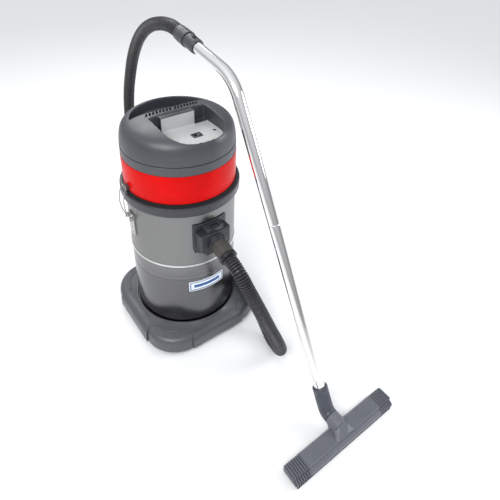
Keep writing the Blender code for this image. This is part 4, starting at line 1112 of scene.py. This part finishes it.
# ---------------------------------------------------------------- tank, rim and label
def make_tank():
    """Drawn steel drum: a proud bead, a pressed groove, a rolled base and the inlet's port."""
    r = TANK_RADIUS
    wall = 0.0014
    mouth = 0.5845
    profile = [
        (0.0, TANK_BASE + wall), (r - wall - 0.010, TANK_BASE + wall), (r - wall, TANK_BASE + 0.011),
        (r - wall, mouth), (r, mouth), (r, BEAD_Z + 0.0062), (r + 0.0016, BEAD_Z + 0.0040),
        (r + 0.0030, BEAD_Z + 0.0014), (r + 0.0030, BEAD_Z - 0.0020), (r + 0.0016, BEAD_Z - 0.0044),
        (r - 0.0006, BEAD_Z - 0.0060), (r - 0.0006, BEAD_Z - 0.0080), (r, BEAD_Z - 0.0100),
        (r, GROOVE_Z + 0.0045), (r - 0.0010, GROOVE_Z + 0.0020), (r - 0.0010, GROOVE_Z - 0.0020),
        (r, GROOVE_Z - 0.0045), (r, TANK_BASE + 0.011), (r - 0.010, TANK_BASE), (0.0, TANK_BASE),
    ]
    tank = turned("tank_drum", profile, "tank", steps=192, rounding=0.0012)
    port = round_bar("port", 0.025, from_axis(0, -0.150, INLET_Z), from_axis(0, -0.210, INLET_Z), "tank", 48)
    carve(tank, port)
    fit(tank, "base", "satin_steel", "tank")
    rim = [
        (0.1765, 0.594), (RIM_RADIUS - 0.0030, 0.594), (RIM_RADIUS - 0.0008, 0.5925), (RIM_RADIUS, 0.5895),
        (RIM_RADIUS, 0.5665), (RIM_RADIUS - 0.0010, 0.5635), (RIM_RADIUS - 0.0035, 0.562),
        (r + 0.0003, 0.562), (r + 0.0003, mouth + 0.0003), (0.1765, mouth + 0.0003),
    ]
    fit(turned("rim_ring", rim, "rim", steps=192, closed=True, rounding=0.0012), "base", DARK,
        "tank_rim")


def wrapped_plate(name, outline, inner, thickness, look, turn=-math.pi / 2, middle_z=0.0, uv=None):
    """A plate cut to an outline of (along, up) and bent round the vacuum's axis, facing outwards."""
    shrinks = (1.0, 0.985, 0.8, 0.6, 0.4, 0.2)
    outer = inner + thickness
    stations = [(inner, shrink) for shrink in reversed(shrinks)]
    stations.append((outer - thickness * 0.35, 1.0))
    stations += [(outer, shrink) for shrink in shrinks[1:]]
    bm = bmesh.new()

    def bent(along, up, radius):
        angle = turn + along / inner
        return from_axis(radius * math.cos(angle), radius * math.sin(angle), middle_z + up)

    stitch(bm, [[bm.verts.new(bent(u * shrink, v * shrink, radius)) for u, v in outline]
                for radius, shrink in stations], caps=True)
    made = link_mesh(name, bm, look)
    if uv:
        width, height = uv
        sheet = made.data.uv_layers.new(name="label")
        for loop in made.data.loops:
            spot = made.data.vertices[loop.vertex_index].co - AXIS
            angle = math.atan2(spot.y, spot.x) - turn
            sheet.data[loop.index].uv = (0.5 + angle * inner / width, 0.5 + (spot.z - middle_z) / height)
    return made


def rounded_rectangle(width, height, radius, chamfer=0.0):
    """An upright rectangle with close points, whose lower corners may be cut off."""
    x, y = width / 2, height / 2
    corners = [(x, y), (-x, y), (-x, -y), (x, -y)]
    if chamfer:
        corners[2:] = [(-x, chamfer - y), (chamfer - x, -y), (x - chamfer, -y), (x, chamfer - y)]
    rounded = fillet(corners, radius, True, 5)
    spacing = 0.006
    close = []
    for here, ahead in zip(rounded, rounded[1:] + rounded[:1]):
        steps = max(1, round((ahead - here).length / spacing))
        close += [here.lerp(ahead, k / steps) for k in range(steps)]
    return close


def make_label():
    """The blank label, stuck a little to the left of the tank's front."""
    size = (0.131, 0.043)
    outline = rounded_rectangle(*size, 0.0035)
    label = wrapped_plate("blank_label", outline, TANK_RADIUS + 0.0003, 0.0006, "label",
                          math.radians(-94.5), 0.2535, size)
    fit(label, "base", "white_label", "tank_badge")


# ---------------------------------------------------------------- hose inlet
def make_inlet():
    """Moulded inlet: a flange on the tank, a boxed housing with a hood, a collar and its release lever."""
    plate_in = TANK_RADIUS + 0.0021
    plate_out = plate_in + 0.003
    flange = wrapped_plate("inlet_flange", rounded_rectangle(0.124, 0.120, 0.004, 0.022), plate_in, 0.003,
                           "inlet", middle_z=INLET_Z + 0.005)
    inside, outside = (from_axis(0, y, INLET_Z) for y in (-0.150, -0.220))
    carve(flange, round_bar("flange_port", 0.026, inside, outside, "inlet", 48))
    spots = []
    for along, up in ((-0.055, 0.050), (0.055, 0.050), (-0.055, -0.030), (0.057, -0.034)):
        angle = -math.pi / 2 + along / plate_out
        facing = Vector((math.cos(angle), math.sin(angle), 0.0))
        spots.append((AXIS + facing * plate_out + Vector((0, 0, INLET_Z + 0.005 + up)), facing))
    screws = fasteners("flange_screws", "inlet", spots, 0.0042, 0.0018)
    fit(flange, "base", DARK, "inlet_plate")
    fit(screws, "base", "spring_wire")
    make_inlet_housing(plate_out)
    make_release_lever()


def make_inlet_housing(plate_out):
    """The boxed housing with its hood, the lever's slot, and a collar round the cuff's bore."""
    left_half = [(-0.055, 0.040), (-0.055, -0.022), (-0.034, -0.045)]
    outline = fillet(left_half + [(-x, z) for x, z in reversed(left_half)], 0.0035, True, 4)
    front = -0.2135
    stations = ((-0.166, 1.0), (front + 0.0085, 1.0), (front + 0.0060, 0.992), (front + 0.0035, 0.975),
                (front + 0.0015, 0.955), (front + 0.0004, 0.935), (front, 0.905))
    rings = [[from_axis(x * scale, y, INLET_Z + z * scale) for x, z in outline] for y, scale in stations]
    housing = skin("inlet_box", rings, "inlet")
    drum = round_bar("drum", plate_out + 0.0003, from_axis(0, 0, 0.3), from_axis(0, 0, 0.6), "inlet", 192)
    hood = from_axis(0, -0.190, INLET_Z + 0.0475)
    carve(housing, rounded_block("inlet_hood", (0.060, 0.040, 0.022), hood, "inlet", 0.003), "UNION")
    carve(housing, drum)
    slot = from_axis(0, -0.209, INLET_Z + 0.0570)
    carve(housing, rounded_block("lever_slot", (0.0270, 0.030, 0.0220), slot, "inlet", 0.0))
    carve(housing, round_bar("bore", 0.0260, INLET_MOUTH + CUFF_RUN * 0.05, INLET_MOUTH - CUFF_RUN * 0.07,
                             "inlet", 64))
    collar = turned("inlet_collar", [
        (0.0260, 0.0100), (0.0300, 0.0100), (0.0312, 0.0085), (0.0312, 0.0060), (0.0302, 0.0045),
        (0.0302, -0.0075), (0.0260, -0.0075),
    ], "inlet", INLET_MOUTH, CUFF_RUN, closed=True)
    fit(join("inlet_housing_piece", [housing, collar]), "base", DARK, "inlet_housing")


def make_release_lever():
    """The lever in the hood's slot: an arm with fine ridges, a thumb rest and a pin."""
    pivot = from_axis(0, -0.2015, INLET_Z + 0.0535)
    arm = rounded_block("lever_arm", (0.026, 0.021, 0.0048), pivot + Vector((0, -0.0055, 0)), "inlet", 0.0012)
    thumb = rounded_block("lever_thumb", (0.026, 0.0040, 0.0120), pivot + Vector((0, -0.0150, 0.0033)),
                          "inlet", 0.0014)
    half_pin = Vector((0.0158, 0, 0))
    pin = round_bar("lever_pin", 0.0015, pivot - half_pin, pivot + half_pin, "inlet", 20)
    grip = rounded_block("lever_ridge", (0.020, 0.0009, 0.0009), (0, 0, 0.0024), "inlet", 0.0003)
    ridges = copies("lever_ridges", grip, "inlet", 4, step=(0, 0.0028, 0),
                    matrix=Matrix.Translation(pivot + Vector((0, -0.0110, 0))))
    fit(join("release_lever_piece", [arm, thumb, pin, ridges]), "release_lever", DARK, "inlet_lever")


# ---------------------------------------------------------------- latches
LATCH_REACH = 0.1935
LATCH_Z = 0.500


def make_latches():
    """Spring wire latches with their riveted brackets and the catches on the head."""
    for side, tag in ((-1, "left"), (1, "right")):
        node = f"latch_bail_{tag}"
        pivot = from_axis(side * LATCH_REACH, 0, LATCH_Z)
        half = 0.0175
        climb = [(0.0, half, 0.0), (0.004, half, 0.012), (0.011, half, 0.034), (0.0145, half, 0.060),
                 (0.0130, half - 0.001, 0.085), (0.0085, half - 0.002, 0.103), (0.0022, half - 0.003, 0.1150),
                 (0.0006, half - 0.006, 0.1192), (0.0006, 0.004, 0.1192)]
        route = [(0.0, 0.0128, 0.0), (0.0, 0.0158, 0.0)] + climb
        route += [(x, -y, z) for x, y, z in reversed(route)]
        wire_line = smooth_route([pivot + Vector((side * x, y, z)) for x, y, z in route], 5)
        bail = swept(f"latch_wire_{tag}", wire_line, [0.0016] * len(wire_line), "wire", 14)
        fit(bail, f"{tag}_latch", "spring_wire", node)
        paint(f"latch_bracket_{tag}", "wire")
        face = side * (TANK_RADIUS + 0.0044)
        spots = [(from_axis(face, 0, z), (side, 0, 0)) for z in (0.436, 0.456, 0.476)]
        fit(fasteners(f"latch_rivets_{tag}", "wire", spots, 0.0036, 0.0016), "base", "spring_wire")


# ---------------------------------------------------------------- plinth and casters
PLINTH_HALF = 0.221
PLINTH_CORNER = 0.118
PLINTH_STEP = 0.006
SEAT_RADIUS = TANK_RADIUS + 0.004
CASTER_REACH = 0.150
CORNERS = ("front_left", "front_right", "rear_left", "rear_right")
RIDGE_RADIUS = 0.0020
NOTCH_ANGLE = math.atan2(PLINTH_HALF - PLINTH_CORNER, PLINTH_HALF)


def folded(angle):
    """An angle turned back into the first eighth of a turn, where the square outline repeats."""
    first = math.atan2(abs(math.sin(angle)), abs(math.cos(angle)))
    return min(first, math.pi / 2 - first)


def plinth_radius(angle, inset, step=0.0):
    """Distance from the axis to the plinth's rounded square, whose middles stand proud by a step."""
    half = PLINTH_HALF - inset
    corner = PLINTH_CORNER - inset
    flat = half - corner
    share = folded(angle)
    if half * math.tan(share) <= flat:
        radius = half / math.cos(share)
    else:
        middle_of_arc = flat * (math.cos(share) + math.sin(share))
        radius = middle_of_arc + math.sqrt(middle_of_arc ** 2 - 2 * flat ** 2 + corner ** 2)
    if share < NOTCH_ANGLE:
        radius += step / math.cos(share)
    return radius


def plinth_angles():
    """Stations round the plinth, close together at each notch."""
    eighth = [NOTCH_ANGLE * i / 8 for i in range(8)]
    eighth += [NOTCH_ANGLE - 0.0025, NOTCH_ANGLE + 0.0025]
    eighth += [NOTCH_ANGLE + (math.pi / 4 - NOTCH_ANGLE) * i / 10 for i in range(1, 11)]
    quarter = eighth + [math.pi / 2 - a for a in reversed(eighth[1:-1])]
    return [a + math.pi / 2 * k for k in range(4) for a in quarter]


def deck_height(x, y):
    """Height of the plinth's sloping deck at a place given from the axis."""
    angle = math.atan2(y, x)
    outer = plinth_radius(angle, 0.030)
    share = (outer - math.hypot(x, y)) / (outer - SEAT_RADIUS - 0.004)
    return 0.0755 + 0.009 * share


def make_plinth():
    """Moulded base: a bull-nosed skirt with proud middles, a sloping deck and a round seat."""
    angles = plinth_angles()

    def seat(radius, z):
        return [from_axis(radius * math.cos(a), radius * math.sin(a), z) for a in angles]

    def ring(inset, z, step=0.0):
        radii = [plinth_radius(a, inset, step) for a in angles]
        return [from_axis(radius * math.cos(a), radius * math.sin(a), z) for radius, a in zip(radii, angles)]

    step = PLINTH_STEP
    rings = [ring(0.012, 0.056), ring(0.0055, 0.0175), ring(0.005, 0.016), ring(0.0012, 0.016, step),
             ring(0.0, 0.0172, step), ring(0.0, 0.0500, step)]
    for i in range(1, 9):
        a = math.pi / 2 * i / 8
        rings.append(ring(0.022 * (1 - math.cos(a)), 0.0500 + 0.0230 * math.sin(a), step * math.cos(a * 0.8)))
    rings += [ring(0.0255, 0.0742, step * 0.12), ring(0.030, 0.0755)]
    outer = rings[-1]
    inner = seat(SEAT_RADIUS + 0.0042, 0.0842)
    for t in (0.25, 0.5, 0.75):
        rings.append([a.lerp(b, t) for a, b in zip(outer, inner)])
    rings += [inner, seat(SEAT_RADIUS + 0.0030, 0.0846), seat(SEAT_RADIUS + 0.0012, 0.0844),
              seat(SEAT_RADIUS, 0.0830), seat(SEAT_RADIUS, 0.070)]
    plinth = skin("plinth_shell", rings, "plinth", 40)
    ridges = corner_ridges()
    for x in (-CASTER_REACH, CASTER_REACH):
        for y in (-CASTER_REACH, CASTER_REACH):
            carve(plinth, round_bar("caster_socket", 0.0053, from_axis(x, y, 0.050), from_axis(x, y, 0.068),
                                    "plinth", 24))
    fit(join("plinth_base", [plinth, *ridges]), "base", DARK, "plinth")


def corner_ridges():
    """A low ridge on the deck round each corner, turned out to the skirt at both its ends."""
    flat = PLINTH_HALF - PLINTH_CORNER
    radius = PLINTH_CORNER - 0.0400
    lead = ((0.0240, -0.002), (0.0300, -0.002), (0.0360, 0.001))
    path = [(PLINTH_HALF - inset, flat + shift) for inset, shift in lead]
    for i in range(13):
        a = math.radians(8 + 74 * i / 12)
        path.append((flat + radius * math.cos(a), flat + radius * math.sin(a)))
    path += [(y, x) for x, y in reversed(path[:3])]
    ridges = []
    for quarter in range(4):
        turn = Matrix.Rotation(math.pi / 2 * quarter, 3, "Z")
        spots = []
        for x, y in path:
            spot = turn @ Vector((x, y, 0.0))
            spots.append(from_axis(spot.x, spot.y, min(0.0838, deck_height(spot.x, spot.y)) + 0.0001))
        line = smooth_route(spots, 4)
        ridges.append(swept(f"corner_ridge_{quarter}", line, [RIDGE_RADIUS] * len(line), "plinth", 10))
    return ridges


def make_casters():
    """Rubber-tyred wheels; the yokes and axles stay as they are."""
    radius = 0.020
    half = 0.008
    face = [
        (0.0028, half + 0.001), (0.007, half + 0.001), (0.009, half - 0.002), (0.0145, half - 0.002),
        (0.0150, half - 0.0005), (radius - 0.002, half - 0.001), (radius, half - 0.0035),
    ]
    profile = face + [(r, -height) for r, height in reversed(face)]
    for corner in CORNERS:
        node = f"caster_wheel_{corner}"
        wheel = turned(f"wheel_{corner}_tyre", profile, "rubber", middle(node), (1, 0, 0), 64, True, 0.0012)
        fit(wheel, f"wheel_{corner}", "black_rubber", node)


# ---------------------------------------------------------------- motor head
def d_outline(half, depth, straight, count=36):
    """A D: a straight back edge at y = 0 and a full, rounded front."""
    points = [(half, 0.0), (half, -straight)]
    fullness = 0.82
    for i in range(1, count):
        a = math.pi / 2 * (1 - 2 * i / count)
        across = math.copysign(abs(math.sin(a)) ** fullness, a)
        points.append((half * across, -straight - (depth - straight) * math.cos(a) ** fullness))
    return points + [(-half, -straight), (-half, 0.0)]


def recess_cutter(name, outline):
    """An upright prism on an outline given from the axis, from the recess floor up through the dome."""
    return skin(name, [[from_axis(x, y, z) for x, y in outline] for z in (RECESS_FLOOR, 0.90)], "cover")


def fair(obj, voxel, passes):
    """Rebuild a carved shape evenly and soften it, so that its edges are moulded and not cut."""
    remesh = obj.modifiers.new("even", "REMESH")
    remesh.mode = "VOXEL"
    remesh.voxel_size = voxel
    relax = obj.modifiers.new("soft", "SMOOTH")
    relax.factor = 0.5
    relax.iterations = passes
    return soften(settle(obj), 60.0)


def make_cover():
    """Domed cover: a front hand recess with its panel, a slotted handle bar and a rear crescent recess."""
    dome = [
        (0.0, COVER_TOP), (0.050, 0.8215), (0.100, 0.8165), (0.140, 0.8080), (0.160, 0.7985),
        (0.1720, 0.7840), (0.1776, 0.7640), (0.1799, 0.7460), (0.1808, SEAM_Z + 0.0008),
    ]
    curve = [(p.x, p.y) for p in smooth_route([(r, z, 0.0) for r, z in dome], 6)]
    underside = [(0.1770, SEAM_Z + 0.0004), (0.0, SEAM_Z + 0.0004)]
    cover = turned("cover_dome", curve + underside, "cover", steps=160, rounding=0.0)
    hand_recess = [(x + 0.004, y - 0.004) for x, y in d_outline(0.096, 0.160, 0.070)]
    carve(cover, recess_cutter("front_recess", hand_recess))
    pocket = from_axis(0.004, -0.004, RECESS_FLOOR + 0.040)
    carve(cover, rounded_block("pocket", (0.192, 0.022, 0.080), pocket, "cover", 0.0))
    panel = from_axis(-0.004, -0.0020, RECESS_FLOOR + 0.0225)
    carve(cover, rounded_block("panel", (0.116, 0.024, 0.053), panel, "cover", 0.0), "UNION")
    rear_radius = 0.142
    arc = [math.radians(20 + 140 * i / 32) for i in range(33)]
    crescent = [(rear_radius * math.cos(a), rear_radius * math.sin(a)) for a in arc]
    crescent += [(-0.106, 0.048), (-0.05, 0.037), (0.0, 0.034), (0.05, 0.037), (0.106, 0.048)]
    carve(cover, recess_cutter("rear_recess", crescent))
    fair(cover, 0.0019, 12)
    cut_cover_openings(cover)
    fit(cover, "head", DARK, "head_cover")
    skirt = turned("cover_skirt", [
        (0.1770, SEAM_Z), (0.1802, SEAM_Z), (0.1811, SEAM_Z - 0.0008), (0.1811, BAND_TOP + 0.0016),
        (0.1802, BAND_TOP + 0.0004), (0.1770, BAND_TOP + 0.0004),
    ], "cover", steps=192, closed=True)
    fit(skirt, "head", DARK)


def cut_cover_openings(cover):
    """Slots along the handle bar, a small hole and the switch's opening, and the hollow inside."""
    cutters = []
    slots = 16
    pitch = 0.0110
    middle_gap = 0.006
    slant = Matrix.Rotation(math.radians(-28), 4, "Z")
    for i in range(slots):
        x = pitch * (i - slots / 2) + (middle_gap if i >= slots / 2 else 0.0)
        place = from_axis(x, 0.0210 + 0.7 * x * x, 0.8130)
        cutters.append(rounded_block("slot", (0.0064, 0.0200, 0.030), place, "cover", 0.0, slant))
    low, high = (from_axis(0.084, -0.079, z) for z in (0.757, 0.780))
    cutters.append(round_bar("small_hole", 0.0055, low, high, "cover", 24))
    carve(cover, join("cover_cutters", cutters))
    opening = SWITCH_PLACE - Vector((0, 0, 0.006))
    carve(cover, rounded_block("switch_opening", (0.0286, 0.0206, 0.03), opening, "cover", 0.0))
    inside = [(0.0, 0.7540), (0.1670, 0.7540), (0.1765, 0.7420), (0.1765, 0.690), (0.0, 0.690)]
    hollow = turned("hollow", inside, "cover", steps=96, rounding=0.0)
    carve(cover, hollow)


def make_switch():
    """Black rocker switch in its bezel."""
    face = middle("switch_frame")
    face.z = top("switch_frame")
    bezel = rounded_block("bezel", (0.032, 0.024, 0.0020), face - Vector((0, 0, 0.0010)), "black", 0.0007)
    carve(bezel, rounded_block("well", (0.0220, 0.0140, 0.0060), face, "black", 0.0))
    fit(bezel, "head", "black_plastic", "switch_frame")
    outline = fillet([(-0.0100, 0.0045), (0.0, 0.0018), (0.0100, 0.0030), (0.0085, -0.0024),
                      (-0.0085, -0.0024)], 0.0006, True)
    pivot = SWITCH_PLACE + Vector((0, 0, 0.0005))
    rings = [[pivot + Vector((x, y, z)) for x, z in outline] for y in (-0.0064, 0.0064)]
    rocker = skin("rocker_piece", rings, "black")
    edge_bevel(rocker, 0.0005, 2, 50)
    fit(rocker, "power_switch", "black_plastic", "switch_rocker")


def make_head_shells():
    """Red band, the seal under the motor deck, and the lead's gland at the back."""
    inner = BAND_RADIUS - 0.0035
    band = [(inner, BAND_TOP), (BAND_RADIUS, BAND_TOP), (BAND_RADIUS, BAND_BASE), (inner, BAND_BASE)]
    fit(turned("red_band_shell", band, "red", steps=192, closed=True, rounding=0.0010), "head", "red_plastic",
        "red_band")
    seal = [(0.1725, 0.6035), (0.1855, 0.6035), (0.1860, 0.6020), (0.1845, 0.5990), (0.1860, 0.5960),
            (0.1855, 0.5943), (0.1725, 0.5943)]
    fit(turned("head_seal", seal, "rubber", steps=192, closed=True), "head", "black_rubber", "head_gasket")
    gland = [
        (0.0, 0.0300), (0.0050, 0.0300), (0.0056, 0.0285), (0.0065, 0.0120), (0.0098, 0.0108),
        (0.0105, 0.0095), (0.0105, 0.0003), (0.0075, 0.0003), (0.0075, -0.0120), (0.0, -0.0120),
    ]
    place = from_axis(0, BAND_RADIUS + 0.0002, 0.745)
    fit(turned("lead_gland", gland, "black", place, (0, 1, 0), 48), "head", "black_plastic", "cable_gland")


NODE_LOOKS = {
    "grey": ("motor_deck", "latch_catch_left", "latch_catch_right", "inlet_deflector", "float_cage",
             "wand_coupling"),
    "rubber": ("inlet_gasket",),
    "black": ("filter_ring",),
    "cloth": ("filter_bag",),
    "foam": ("noise_foam",),
    "copper": ("motor_shaft",),
    "red": ("float",),
    "aluminium": ("fan_housing", "motor_frame", "impeller_lower", "impeller_upper"),
    "wire": ("bearing_lower", "bearing_upper"),
}


def finish_nodes():
    """Finishes for the CAD nodes that are kept as they are."""
    for look, nodes in NODE_LOOKS.items():
        for node in nodes:
            paint(node, look)
    for corner in CORNERS:
        paint(f"caster_yoke_{corner}", "grey")
        paint(f"caster_axle_{corner}", "wire")


make_camera()
make_hose()
make_studio()
make_inlet_cuff()
make_handle()
make_wand()
make_elbow()
make_floor_tool()
make_tank()
make_label()
make_inlet()
make_latches()
make_plinth()
make_casters()
make_cover()
make_switch()
make_head_shells()
finish_nodes()
